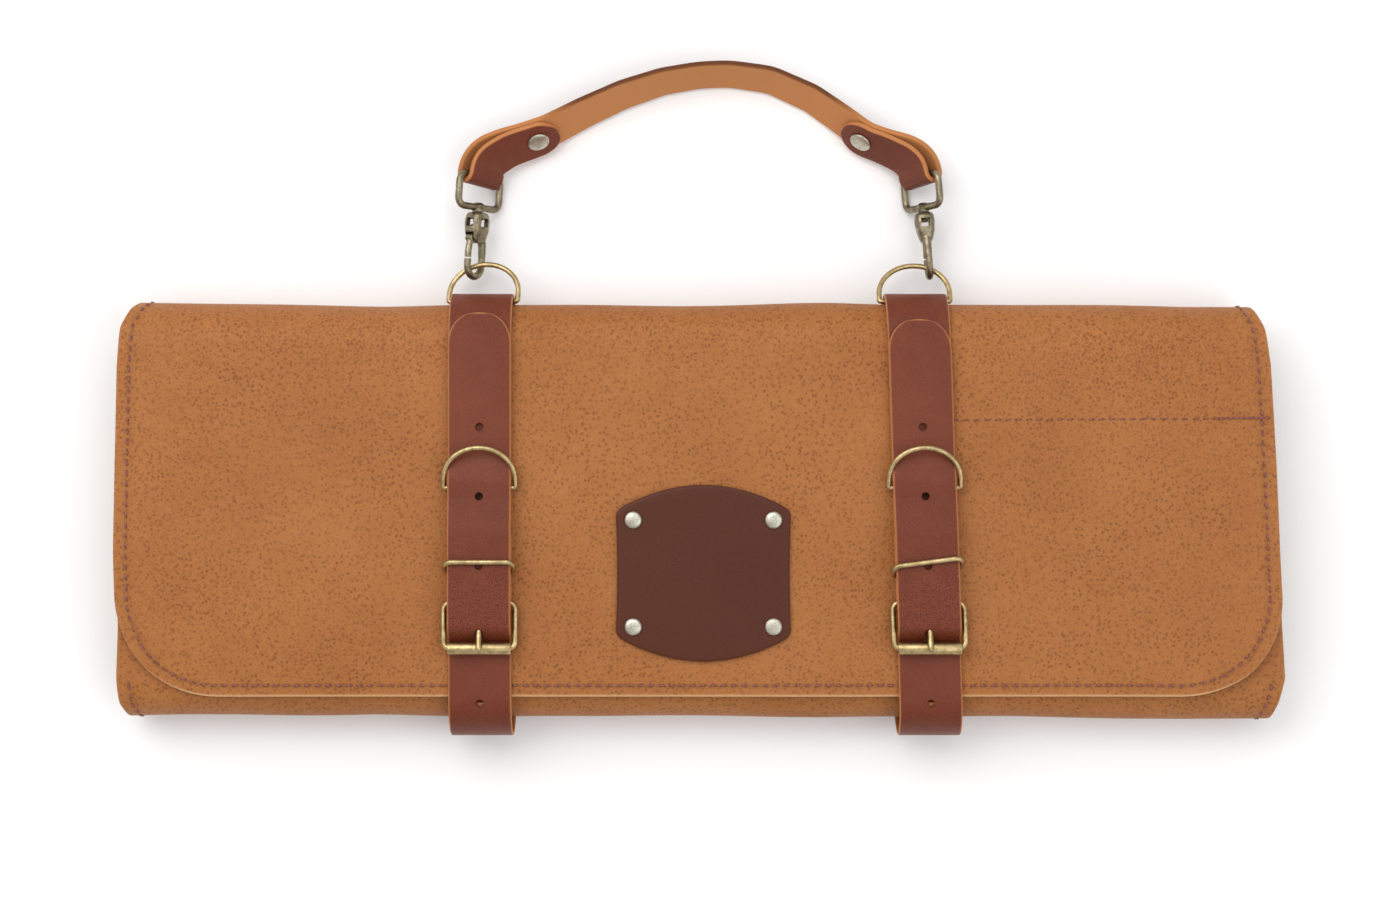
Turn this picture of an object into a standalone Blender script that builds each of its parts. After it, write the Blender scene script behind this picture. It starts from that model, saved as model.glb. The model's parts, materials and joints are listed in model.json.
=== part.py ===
# A leather chef's knife roll, lying on its back, rolled up and closed by two belts.
# X runs along the roll, +Y towards the carrying handle, +Z up. The floor is z = 0.
# Metres throughout.

import math

import bpy
import numpy as np

# Driving dimensions of the rolled body
ROLL_HALF_LENGTH = 0.2415
ROLL_HEIGHT = 0.1725
ROLL_TOP_Y = 0.0398
ROLL_THICKNESS = 0.0335
BODY_WALL = 0.0020
LAYER_PITCH = 0.0038
FOLD_DEPTH = 0.0160
FLAP_SHORT_OF_FOLD = 0.0098
FLAP_CORNER = 0.0420
INNER_END_LENGTH = 0.0900
GAP = 0.0003

# The belts round the roll
BELT_WIDTH = 0.0260
BELT_WALL = 0.0018
BELT_BOTTOM_SLACK = 0.0055
LEFT_BELT_X = -0.0900
RIGHT_BELT_X = 0.0936
RIGHT_BELT_LEAN = -0.032
BUCKLE_FOLD_LENGTH = 0.0280
FOLD_RUN_OUT = 0.0080
RIGHT_TIP_SHORT = 0.0028
BELT_TIP_Y = 0.0356
TIP_LENGTH = 0.0135
HOLE_PITCH = 0.0285
FIRST_HOLE_Y = -0.0116
HOLE_RADIUS = 0.0017

# The brass on the belts
D_WIDTH = 0.0318
D_WIRE = 0.0022
D_CORNER = 0.0014
D_LEG = 0.0024
LEFT_TOP_D_ROLL_DEG = 10.0
MID_D_Y = -0.0366
MID_D_RISE_SHARE = 0.22
KEEPER_Y = -0.0675
KEEPER_WIRE = 0.0020
KEEPER_WIDTH = 0.0308
HEEL_Y = -0.0839
ROLLER_Y = -0.1027
BUCKLE_WIDTH = 0.0319
BUCKLE_WIRE = 0.0024
ROLLER_RADIUS = 0.0027
PRONG_RADIUS = 0.0011
PRONG_EYELET_WALL = 0.0009
PRONG_HOLE_FROM_HEEL = 0.0045
BUCKLE_CORNER = 0.0016
KEEPER_CORNER = 0.0018

# The name patch and the rivets
PATCH_X = 0.0022
PATCH_Y = -0.0719
PATCH_WIDTH = 0.0723
PATCH_SIDE_HEIGHT = 0.0520
PATCH_BULGE = 0.0105
PATCH_WALL = 0.0018
PATCH_SIDE_HOLLOW = 0.0006
RIVET_RADIUS = 0.0035
RIVET_HEIGHT = 0.0013
RIVET_INSET_X = 0.0072
RIVET_INSET_Y = 0.0040

# The snap hooks
HOOK_AXIS_Z = 0.0118
LEFT_HOOK_RING_AT = 0.0230
RIGHT_HOOK_RING_AT = 0.0239
LEFT_HOOK_OFF = -0.0054
RIGHT_HOOK_OFF = 0.0065
LEFT_HOOK_SWAY = -0.07
RIGHT_HOOK_SWAY = 0.09
LEFT_HOOK_ROLL_DEG = 56.0
RIGHT_HOOK_ROLL_DEG = -90.0
HOOK_LEG_HALF_SPREAD = 0.0047
HOOK_WIRE = 0.0030
BLOCK_LENGTH = 0.0130
BLOCK_WIDTH = 0.0104
BLOCK_DEPTH = 0.0084
HOOK_BEND_AT = 0.0225
HOOK_TIP_AT = 0.0199
GATE_PIVOT_AT = 0.0112
GATE_PIVOT_OFF = 0.0034
PIN_RADIUS = 0.00065
POST_RADIUS = 0.0011
EYE_LENGTH = 0.0155
EYE_WIRE = 0.0028
EYE_SIDE_CLEARANCE = 0.0012
EYE_CORNER = 0.0028
EYE_BAR_BACK = 0.0020
WINDOW_HALF_WIDTH = 0.0023
WINDOW_FROM = 0.0026
WINDOW_TO = 0.0062
GATE_KNUCKLE_RADIUS = 0.0019
COLLAR_RADIUS = 0.0026
POST_HEAD_RADIUS = 0.0019
POST_HEAD_TO = 0.0042

# The carrying handle
HANDLE_WIDTH = 0.0190
HANDLE_WALL = 0.0023
HANDLE_RISE = 0.0433
HANDLE_RETURN = 0.0400
HANDLE_LEAD = 0.0060
HANDLE_FLOOR_GAP = 0.0005
LOOP_CLEARANCE = 0.0009
HANDLE_RIVET_RADIUS = 0.0046

# The outline of the leather: each row is (share of the height from the top,
# left edge and right edge as shares of the half length)
OUTLINE = (
    (0.000, 0.962, 0.950),
    (0.020, 0.976, 0.957),
    (0.060, 0.989, 0.968),
    (0.150, 0.994, 0.977),
    (0.400, 0.998, 0.986),
    (0.600, 1.000, 0.992),
    (0.780, 0.996, 0.999),
    (0.900, 0.999, 1.004),
    (0.960, 0.996, 0.995),
    (1.000, 0.984, 0.985),
)

# The handle's middle line from eye to eye: each row is (share of the way across,
# share of the rise, lean of the strap's width from the floor in degrees)
HANDLE_LINE = (
    (0.000, 0.000, 50.0),
    (0.025, 0.235, 50.0),
    (0.060, 0.320, 51.0),
    (0.105, 0.370, 52.0),
    (0.156, 0.435, 55.0),
    (0.238, 0.620, 59.0),
    (0.326, 0.797, 62.0),
    (0.416, 0.925, 65.0),
    (0.498, 0.986, 66.0),
    (0.563, 1.000, 66.0),
    (0.656, 0.943, 65.0),
    (0.749, 0.764, 63.0),
    (0.814, 0.566, 61.0),
    (0.873, 0.380, 60.0),
    (0.920, 0.325, 59.0),
    (0.965, 0.260, 58.0),
    (1.000, 0.000, 58.0),
)

# Heights worked out from the sizes above
BACK_Z = BELT_WALL + GAP
FLAP_Z = BACK_Z + ROLL_THICKNESS
ON_FLAP_Z = FLAP_Z + GAP + BELT_WALL / 2
OVER_BARS_Z = ON_FLAP_Z + BELT_WALL + 2 * GAP + BUCKLE_WIRE
BARS_Z = (ON_FLAP_Z + OVER_BARS_Z) / 2
OVER_FOLD_Z = OVER_BARS_Z + BELT_WALL + GAP
ON_BELT_Z = ON_FLAP_Z + BELT_WALL + GAP
OVER_D_Z = ON_BELT_Z + D_WIRE + GAP
ROLL_BOTTOM_Y = ROLL_TOP_Y - ROLL_HEIGHT
X_AXIS = np.array((1.0, 0.0, 0.0))
Z_AXIS = np.array((0.0, 0.0, 1.0))


def unit(v):
    v = np.asarray(v, float)
    return v / np.linalg.norm(v, axis=-1, keepdims=True)


def material(name, colour, roughness, metallic):
    m = bpy.data.materials.new(name)
    m.use_nodes = True
    shader = m.node_tree.nodes["Principled BSDF"]
    shader.inputs["Base Color"].default_value = (*colour, 1)
    shader.inputs["Roughness"].default_value = roughness
    shader.inputs["Metallic"].default_value = metallic
    return m


def add_object(name, points, faces, finish, pivot=(0, 0, 0)):
    """A mesh object with its origin at the pivot."""
    mesh = bpy.data.meshes.new(name)
    mesh.from_pydata((np.asarray(points, float) - np.array(pivot)).tolist(), [], faces)
    mesh.materials.append(finish)
    mesh.update()
    o = bpy.data.objects.new(name, mesh)
    o.location = pivot
    bpy.context.scene.collection.objects.link(o)
    return o


def loft_faces(sections, around, closed):
    """Quads between neighbouring sections, with end caps where the row of sections is open."""
    faces = []
    last = sections if closed else sections - 1
    for i in range(last):
        a, b = i * around, ((i + 1) % sections) * around
        for k in range(around):
            n = (k + 1) % around
            faces.append((a + k, b + k, b + n, a + n))
    if not closed:
        faces.append(tuple(range(around)))
        faces.append(tuple(range((sections - 1) * around + around - 1, (sections - 1) * around - 1, -1)))
    return faces


def volume(points, faces):
    """Six times the signed volume, to tell whether the faces point out."""
    total = 0.0
    for f in faces:
        p = points[list(f)]
        total += np.einsum("ij,ij->", np.cross(p[1:-1], p[2:]), np.broadcast_to(p[0], p[1:-1].shape))
    return total


def loft(name, sections, finish, closed=False, pivot=(0, 0, 0)):
    """A closed body through sections of equal point counts, with its faces turned outward."""
    sections = np.asarray(sections, float)
    count, around = sections.shape[:2]
    points = sections.reshape(-1, 3)
    faces = loft_faces(count, around, closed)
    if volume(points, faces) < 0:
        faces = [f[::-1] for f in faces]
    return add_object(name, points, faces, finish, pivot)


def tangents(path, closed):
    if closed:
        return unit(np.roll(path, -1, 0) - np.roll(path, 1, 0))
    return unit(np.gradient(path, axis=0))


def wire(name, path, normal, radius, finish, sides=8, closed=True, pivot=(0, 0, 0)):
    """A round wire along a flat path; the radius is one number or one for each point."""
    path = np.asarray(path, float)
    along = tangents(path, closed)
    normal = unit(normal)
    side = unit(np.cross(along, normal))
    turn = 2 * math.pi * (np.arange(sides) + 0.5) / sides
    r = np.broadcast_to(radius, (len(path),))[:, None, None]
    ring = np.cos(turn)[None, :, None] * side[:, None, :] + np.sin(turn)[None, :, None] * normal
    return loft(name, path[:, None, :] + r * ring, finish, closed, pivot)


def turned(name, profile, origin, axis, across, finish, sides=14, pivot=(0, 0, 0)):
    """A body of revolution; the profile holds (along, radius) pairs from one end to the other."""
    axis, across = unit(axis), unit(across)
    other = np.cross(axis, across)
    turn = 2 * math.pi * np.arange(sides) / sides
    ring = np.cos(turn)[:, None] * across + np.sin(turn)[:, None] * other
    sections = [np.asarray(origin) + axis * s + ring * r for s, r in profile]
    return loft(name, sections, finish, False, pivot)


def block(name, corner_a, corner_b, finish, frame=None):
    """A box between two corners, in a frame of (origin, three axes) or in the world."""
    a, b = np.minimum(corner_a, corner_b), np.maximum(corner_a, corner_b)
    flat = [(a[0], a[1]), (b[0], a[1]), (b[0], b[1]), (a[0], b[1])]
    sections = np.array([[(x, y, z) for x, y in flat] for z in (a[2], b[2])])
    if frame is not None:
        sections = place(sections, frame)
    return loft(name, sections, finish)


def place(points, frame):
    origin, u, v, w = frame
    points = np.asarray(points, float)
    return origin + points[..., :1] * u + points[..., 1:2] * v + points[..., 2:] * w


def join(target, other, operation):
    """Adds or cuts another object, which stays hidden as the tool."""
    m = target.modifiers.new(operation.lower(), "BOOLEAN")
    m.operation = operation
    m.solver = "EXACT"
    m.object = other
    other.hide_render = True
    other.display_type = "WIRE"


def rounded_path(corners, radii, steps=4):
    """A polyline with each inner corner replaced by an arc of the given radius."""
    corners = np.asarray(corners, float)
    out = [corners[0]]
    for i in range(1, len(corners) - 1):
        p, a, b = corners[i], corners[i - 1], corners[i + 1]
        u, v = unit(a - p), unit(b - p)
        half = math.acos(max(-1.0, min(1.0, float(u @ v)))) / 2
        if radii[i] <= 0 or half > math.pi / 2 - 0.01:
            out.append(p)
            continue
        cut = radii[i] / math.tan(half)
        centre = p + unit(u + v) * radii[i] / math.sin(half)
        start, end = p + u * cut - centre, p + v * cut - centre
        sweep = math.pi - 2 * half
        for k in range(steps + 1):
            t = k / steps
            mix = (math.sin((1 - t) * sweep) * start + math.sin(t * sweep) * end) / math.sin(sweep)
            out.append(centre + mix)
    out.append(corners[-1])
    return np.array(out)


def half_ellipse(centre_y, centre_z, depth, rise, steps, toward):
    """Points of half an ellipse in the YZ plane, from its top round to its bottom."""
    turn = np.linspace(math.pi / 2, -math.pi / 2, steps)
    return np.stack([centre_y + toward * depth * np.cos(turn), centre_z + rise * np.sin(turn)], axis=1)


def band(name, path_yz, half_width, wall, finish, centre_x=0.0, lean=0.0):
    """A flat leather band along a path in the YZ plane."""
    path = np.asarray(path_yz, float)
    along = tangents(path, False)
    up = np.stack([-along[:, 1], along[:, 0]], axis=1)
    half = np.broadcast_to(half_width, (len(path),))
    h = wall / 2
    sections = []
    for p, n, w in zip(path, up, half):
        flat = [(-w, -h), (w, -h), (w, h), (-w, h)]
        sections.append([(centre_x + x, *(p + n * y)) for x, y in flat])
    sections = np.array(sections)
    sections[..., 0] += lean * (sections[..., 1] - (ROLL_TOP_Y + ROLL_BOTTOM_Y) / 2)
    return loft(name, sections, finish)


def roll_sheet(finish):
    """The sheet of the roll: a flattened spiral, each turn one layer pitch inside the last."""
    top_z = FLAP_Z - BODY_WALL / 2
    low_z = BACK_Z + BODY_WALL / 2
    middle = (top_z + low_z) / 2
    rise = (top_z - low_z) / 2
    top_y = ROLL_TOP_Y - BODY_WALL / 2
    bottom_y = ROLL_BOTTOM_Y + BODY_WALL / 2
    flap_end = bottom_y - BODY_WALL / 2 + FLAP_SHORT_OF_FOLD
    corner = np.sin(np.radians(np.linspace(0, 90, 7)))
    front = flap_end + FLAP_CORNER * (1 - np.cos(np.radians(np.linspace(0, 90, 7))))
    start = [(y, top_z) for y in front]
    inset = list(FLAP_CORNER * (1 - corner))
    rows = list(start)
    fold_top = top_y - FOLD_DEPTH
    for y in np.linspace(front[-1], fold_top, 6)[1:-1]:
        rows.append((y, top_z))
    for turn in range(2):
        step = LAYER_PITCH * turn
        rows += list(half_ellipse(fold_top, middle, FOLD_DEPTH - step, rise - step, 13, 1))
        back = low_z + step
        low_fold = bottom_y + FOLD_DEPTH
        rows += [(y, back) for y in np.linspace(fold_top, low_fold, 6)[1:-1]]
        depth = FOLD_DEPTH - step
        centre = (back + top_z - step - LAYER_PITCH) / 2
        half = (top_z - step - LAYER_PITCH - back) / 2
        ring = half_ellipse(low_fold, centre, depth, half, 13, -1)[::-1]
        rows += list(ring)
        front_z = top_z - step - LAYER_PITCH
        end = fold_top if turn == 0 else low_fold + INNER_END_LENGTH
        stretch = np.linspace(low_fold, end, 6)[1:-1] if turn == 0 else np.linspace(low_fold, end, 5)[1:]
        rows += [(y, front_z) for y in stretch]
    rows = np.array(rows)
    inset = np.concatenate([inset, np.zeros(len(rows) - len(inset))])
    down = (ROLL_TOP_Y - rows[:, 0]) / ROLL_HEIGHT
    down_shares, left_shares, right_shares = np.array(OUTLINE).T
    left = -ROLL_HALF_LENGTH * np.interp(down, down_shares, left_shares) + inset
    right = ROLL_HALF_LENGTH * np.interp(down, down_shares, right_shares) - inset
    along = tangents(rows, False)
    up = np.stack([-along[:, 1], along[:, 0]], axis=1)
    across = np.linspace(0, 1, 7)
    sections = []
    for p, n, a, b in zip(rows, up, left, right):
        xs = a + (b - a) * across
        outer = p + n * BODY_WALL / 2
        inner = p - n * BODY_WALL / 2
        sections.append([(x, *outer) for x in xs] + [(x, *inner) for x in xs[::-1]])
    return loft("roll_sheet", np.array(sections), finish)


def belt_path(side_tip_y):
    """The middle line of a belt: buckle fold, up the front, round the roll and back over itself."""
    fold = (OVER_BARS_Z - ON_FLAP_Z) / 2
    loop = half_ellipse(HEEL_Y, BARS_Z, fold, fold, 9, -1)[::-1]
    fold_end = HEEL_Y + BUCKLE_FOLD_LENGTH
    over_end = fold_end + 2 * GAP
    run_end = over_end + FOLD_RUN_OUT
    clear = GAP + BELT_WALL / 2
    fold_top = ROLL_TOP_Y - FOLD_DEPTH
    middle = (FLAP_Z + BACK_Z) / 2
    rise = ROLL_THICKNESS / 2 + clear
    under = rounded_path(
        [(HEEL_Y, OVER_BARS_Z), (over_end, OVER_BARS_Z), (run_end, ON_FLAP_Z), (fold_top, ON_FLAP_Z)],
        (0, 0.006, 0.006, 0),
        3,
    )
    top = half_ellipse(fold_top, middle, FOLD_DEPTH + D_WIRE + GAP + clear, rise, 15, 1)
    past_flap = ROLL_BOTTOM_Y + FLAP_SHORT_OF_FOLD - GAP
    slack = ROLL_BOTTOM_Y - BELT_BOTTOM_SLACK
    low = half_ellipse(past_flap, middle, past_flap - slack + clear, rise, 15, -1)[::-1]
    ramp_start = ROLLER_Y + ROLLER_RADIUS
    ramp_end = HEEL_Y - fold - BELT_WALL
    bump = D_WIRE * 2
    corners = [
        (past_flap, ON_FLAP_Z),
        (ramp_start, ON_FLAP_Z),
        (ramp_end, OVER_FOLD_Z),
        (over_end + 3 * GAP, OVER_FOLD_Z),
        (run_end + 3 * GAP, ON_BELT_Z),
        (MID_D_Y - bump, ON_BELT_Z),
        (MID_D_Y - bump / 2, OVER_D_Z),
        (MID_D_Y + bump / 2, OVER_D_Z),
        (MID_D_Y + bump, ON_BELT_Z),
        (side_tip_y - TIP_LENGTH, ON_BELT_Z),
    ]
    over = rounded_path(corners, (0, 0.004, 0.004, 0.006, 0.006, 0.002, 0.002, 0.002, 0.002, 0), 3)
    tip_turn = np.radians(np.linspace(0, 84, 6))[1:]
    tip = [(side_tip_y - TIP_LENGTH + TIP_LENGTH * math.sin(a), ON_BELT_Z) for a in tip_turn]
    start = [(fold_end, ON_FLAP_Z)]
    path = np.concatenate([start, loop, under[1:-1], top, low, over[1:], tip])
    half = np.full(len(path), BELT_WIDTH / 2)
    half[-len(tip) :] = BELT_WIDTH / 2 * np.cos(tip_turn) ** 0.8
    return path, half


def lean_shift(y, lean):
    return lean * (y - (ROLL_TOP_Y + ROLL_BOTTOM_Y) / 2)


def belt(name, centre_x, lean, tip_y, finish, cutter_finish):
    """One belt with its holes, the prong's slot in the buckle fold and the prong's hole."""
    path, half = belt_path(tip_y)
    strap = band(name, path, half, BELT_WALL, finish, centre_x, lean)
    floors = (
        ON_FLAP_Z + BELT_WALL / 2 + GAP / 2,
        ON_FLAP_Z + BELT_WALL / 2 + GAP / 2,
        OVER_BARS_Z + BELT_WALL / 2 + GAP / 2,
        FLAP_Z + GAP / 2,
        FLAP_Z + GAP / 2,
    )
    for i, floor in enumerate(floors):
        y = FIRST_HOLE_Y - i * HOLE_PITCH
        x = centre_x + lean_shift(y, lean)
        if i == 3:
            low = (x - PRONG_RADIUS - 2 * GAP, ROLLER_Y + ROLLER_RADIUS / 2, floor)
            high = (x + PRONG_RADIUS + 2 * GAP, HEEL_Y - PRONG_HOLE_FROM_HEEL, OVER_FOLD_Z + BELT_WALL)
            hole = block(f"{name}_prong_hole", low, high, cutter_finish)
        else:
            profile = ((floor, HOLE_RADIUS), (OVER_FOLD_Z + 2 * BELT_WALL, HOLE_RADIUS))
            hole = turned(f"{name}_hole_{i}", profile, (x, y, 0), Z_AXIS, X_AXIS, cutter_finish, 10)
        join(strap, hole, "DIFFERENCE")
    x = centre_x + lean_shift(HEEL_Y, lean)
    low = (x - PRONG_RADIUS - 3 * GAP, HEEL_Y - 2 * BUCKLE_WIRE, FLAP_Z + GAP / 2)
    high = (x + PRONG_RADIUS + 3 * GAP, HEEL_Y + 1.2 * BUCKLE_WIRE, OVER_BARS_Z + BELT_WALL / 2 + GAP / 2)
    join(strap, block(f"{name}_fold_slot", low, high, cutter_finish), "DIFFERENCE")
    return strap


def d_height(off):
    """How far the D's wire lies from its bar at a distance from the D's middle."""
    r = (D_WIDTH - D_WIRE) / 2
    return D_CORNER + D_LEG + (r - D_CORNER) * math.sqrt(1 - (off / r) ** 2)


def d_path(steps=13):
    """A D in its own plane: a straight bar along X and a half circle on the +Y side."""
    r = (D_WIDTH - D_WIRE) / 2
    turn = np.radians(np.linspace(0, 180, steps))
    arc = np.stack([r * np.cos(turn), D_CORNER + D_LEG + (r - D_CORNER) * np.sin(turn)], axis=1)
    cut = 0.3 * D_CORNER
    bar = [(-r, D_CORNER), (-r + cut, cut), (-r + D_CORNER, 0.0), (0.0, 0.0)]
    bar += [(r - D_CORNER, 0.0), (r - cut, cut), (r, D_CORNER)]
    return np.concatenate([bar, arc])


def d_ring(name, centre, out, right, finish):
    flat = d_path()
    out, right = unit(out), unit(right)
    path = np.asarray(centre) + flat[:, :1] * right + flat[:, 1:] * out
    return wire(name, path, np.cross(right, out), D_WIRE / 2, finish)


def frame_path(half_wide, start, end, corner, steps=3):
    """A closed rounded rectangle in the plane of X and the line from start to end, as points."""
    span = np.linalg.norm(np.subtract(end, start))
    out = []
    for sx, sy, first in ((1, 0, -90), (1, 1, 0), (-1, 1, 90), (-1, 0, 180)):
        cx = sx * (half_wide - corner)
        cy = corner if sy == 0 else span - corner
        for k in range(steps + 1):
            a = math.radians(first + 90 * k / steps)
            out.append((cx + corner * math.cos(a), cy + corner * math.sin(a)))
    return np.array(out)


def buckle(side, centre_x, lean, brass):
    """Frame, roller and prong: the frame's far bar carries the roller, its heel bar the prong."""
    roller_z = ON_FLAP_Z + BELT_WALL / 2 + GAP + ROLLER_RADIUS
    heel = np.array((centre_x + lean_shift(HEEL_Y, lean), HEEL_Y, BARS_Z))
    nose = np.array((centre_x + lean_shift(ROLLER_Y, lean), ROLLER_Y, roller_z))
    span = nose - heel
    flat = frame_path((BUCKLE_WIDTH - BUCKLE_WIRE) / 2, heel, nose, BUCKLE_CORNER)
    down = unit(span)
    right = X_AXIS
    path = heel + flat[:, :1] * right + flat[:, 1:] * down
    wire(f"{side}_buckle_frame", path, np.cross(right, down), BUCKLE_WIRE / 2, brass)
    bore = BUCKLE_WIRE / 2 + GAP
    half = BUCKLE_WIDTH / 2 - BUCKLE_WIRE - 1.5 * GAP
    turn = 2 * math.pi * np.arange(16) / 16
    other = np.cross(right, down)
    ring = np.cos(turn)[:, None] * down + np.sin(turn)[:, None] * other
    tube = [(-half, bore), (-half, ROLLER_RADIUS), (half, ROLLER_RADIUS), (half, bore)]
    sections = [nose + right * s + ring * r for s, r in tube]
    loft(f"{side}_buckle_roller", sections, brass, True)
    eyelet_bore = BUCKLE_WIRE / 2 + GAP
    eyelet = eyelet_bore + PRONG_EYELET_WALL
    tube = [(-PRONG_RADIUS, eyelet_bore), (-PRONG_RADIUS, eyelet), (PRONG_RADIUS, eyelet), (PRONG_RADIUS, eyelet_bore)]
    sections = [heel + X_AXIS * s + ring * r for s, r in tube]
    prong = loft(f"{side}_buckle_prong", sections, brass, True)
    top = roller_z + ROLLER_RADIUS + GAP + PRONG_RADIUS * 0.8
    run = [
        heel + (0, -eyelet_bore - 0.0003, 0.0006),
        heel + (0, -0.0062, 0.0016),
        (nose[0], ROLLER_Y + 0.0050, top - 0.0010),
        (nose[0], ROLLER_Y + 0.0005, top),
        (nose[0], ROLLER_Y - 0.0012, top - 0.0002),
    ]
    radii = PRONG_RADIUS * np.array((0.80, 0.95, 0.95, 0.85, 0.60))
    arm = wire(f"{side}_prong_arm", run, X_AXIS, radii, brass, 8, False)
    join(prong, arm, "UNION")


def keeper(side, centre_x, lean, brass):
    """A wire loop round the belt: one bar inside the buckle fold, one over the belt."""
    low = BARS_Z - BUCKLE_WIRE / 2 + KEEPER_WIRE / 2
    high = OVER_FOLD_Z + BELT_WALL / 2 + GAP + KEEPER_WIRE / 2
    flat = frame_path((KEEPER_WIDTH - KEEPER_WIRE) / 2, (0, low), (0, high), KEEPER_CORNER)
    x = centre_x + lean_shift(KEEPER_Y, lean)
    path = np.array((x, KEEPER_Y, low)) + flat[:, :1] * X_AXIS + flat[:, 1:] * Z_AXIS
    wire(f"{side}_keeper", path, (0, 1, 0), KEEPER_WIRE / 2, brass)


def belt_set(side, centre_x, lean, tip_y, ring_roll, hook_off, red_leather, brass):
    belt(f"{side}_belt", centre_x, lean, tip_y, red_leather, red_leather)
    buckle(side, centre_x, lean, brass)
    keeper(side, centre_x, lean, brass)
    bar_z = ON_FLAP_Z + BELT_WALL / 2 + GAP + D_WIRE / 2
    apex_z = ON_BELT_Z + BELT_WALL / 2 + GAP + D_WIRE / 2
    climb = math.asin((apex_z - bar_z) / (D_WIDTH * MID_D_RISE_SHARE))
    centre = (centre_x + lean_shift(MID_D_Y, lean), MID_D_Y, bar_z)
    d_ring(f"{side}_mid_d_ring", centre, (0, math.cos(climb), math.sin(climb)), X_AXIS, brass)
    y = ROLL_TOP_Y + GAP + D_WIRE / 2
    roll = math.radians(ring_roll)
    right = np.array((math.cos(roll), 0, math.sin(roll)))
    centre = np.array((centre_x + lean_shift(y, lean), y, (FLAP_Z + BACK_Z) / 2))
    # The ring slopes down so that its wire meets the middle of the hook
    drop = centre[2] + right[2] * hook_off - HOOK_AXIS_Z
    tilt = math.asin(drop / d_height(hook_off) / math.cos(roll))
    down = np.cross((0, 1, 0), right)
    down = down * math.copysign(1, -down[2])
    out = math.cos(tilt) * np.array((0, 1, 0)) + math.sin(tilt) * down
    d_ring(f"{side}_top_d_ring", centre, out, right, brass)
    return centre + right * hook_off + out * d_height(hook_off)


def patch(finish):
    """A square patch with bowed top and bottom edges and slightly hollow sides."""
    half, side = PATCH_WIDTH / 2, PATCH_SIDE_HEIGHT / 2
    t = np.linspace(-1, 1, 11)
    top = [(half * k, side + PATCH_BULGE * (1 - k * k)) for k in t]
    flank = [(half - PATCH_SIDE_HOLLOW * (1 - k * k), -side * k) for k in np.linspace(-1, 1, 5)[1:-1]]
    bottom = [(-x, -y) for x, y in top]
    other = [(-x, -y) for x, y in flank]
    outline = np.array(top + flank + bottom + other)
    low, high = FLAP_Z + GAP, FLAP_Z + GAP + PATCH_WALL
    sections = [[(PATCH_X + x, PATCH_Y + y, z) for x, y in outline] for z in (low, high)]
    return loft("patch", sections, finish)


def rivet(name, seat, axis, across, radius, height, finish):
    """A low domed cap on its seat."""
    dome = [(0.0, radius * 0.96), (height * 0.25, radius), (height * 0.62, radius * 0.86)]
    dome += [(height * 0.90, radius * 0.52), (height, radius * 0.16)]
    return turned(name, dome, seat, axis, across, finish, 14)


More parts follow.
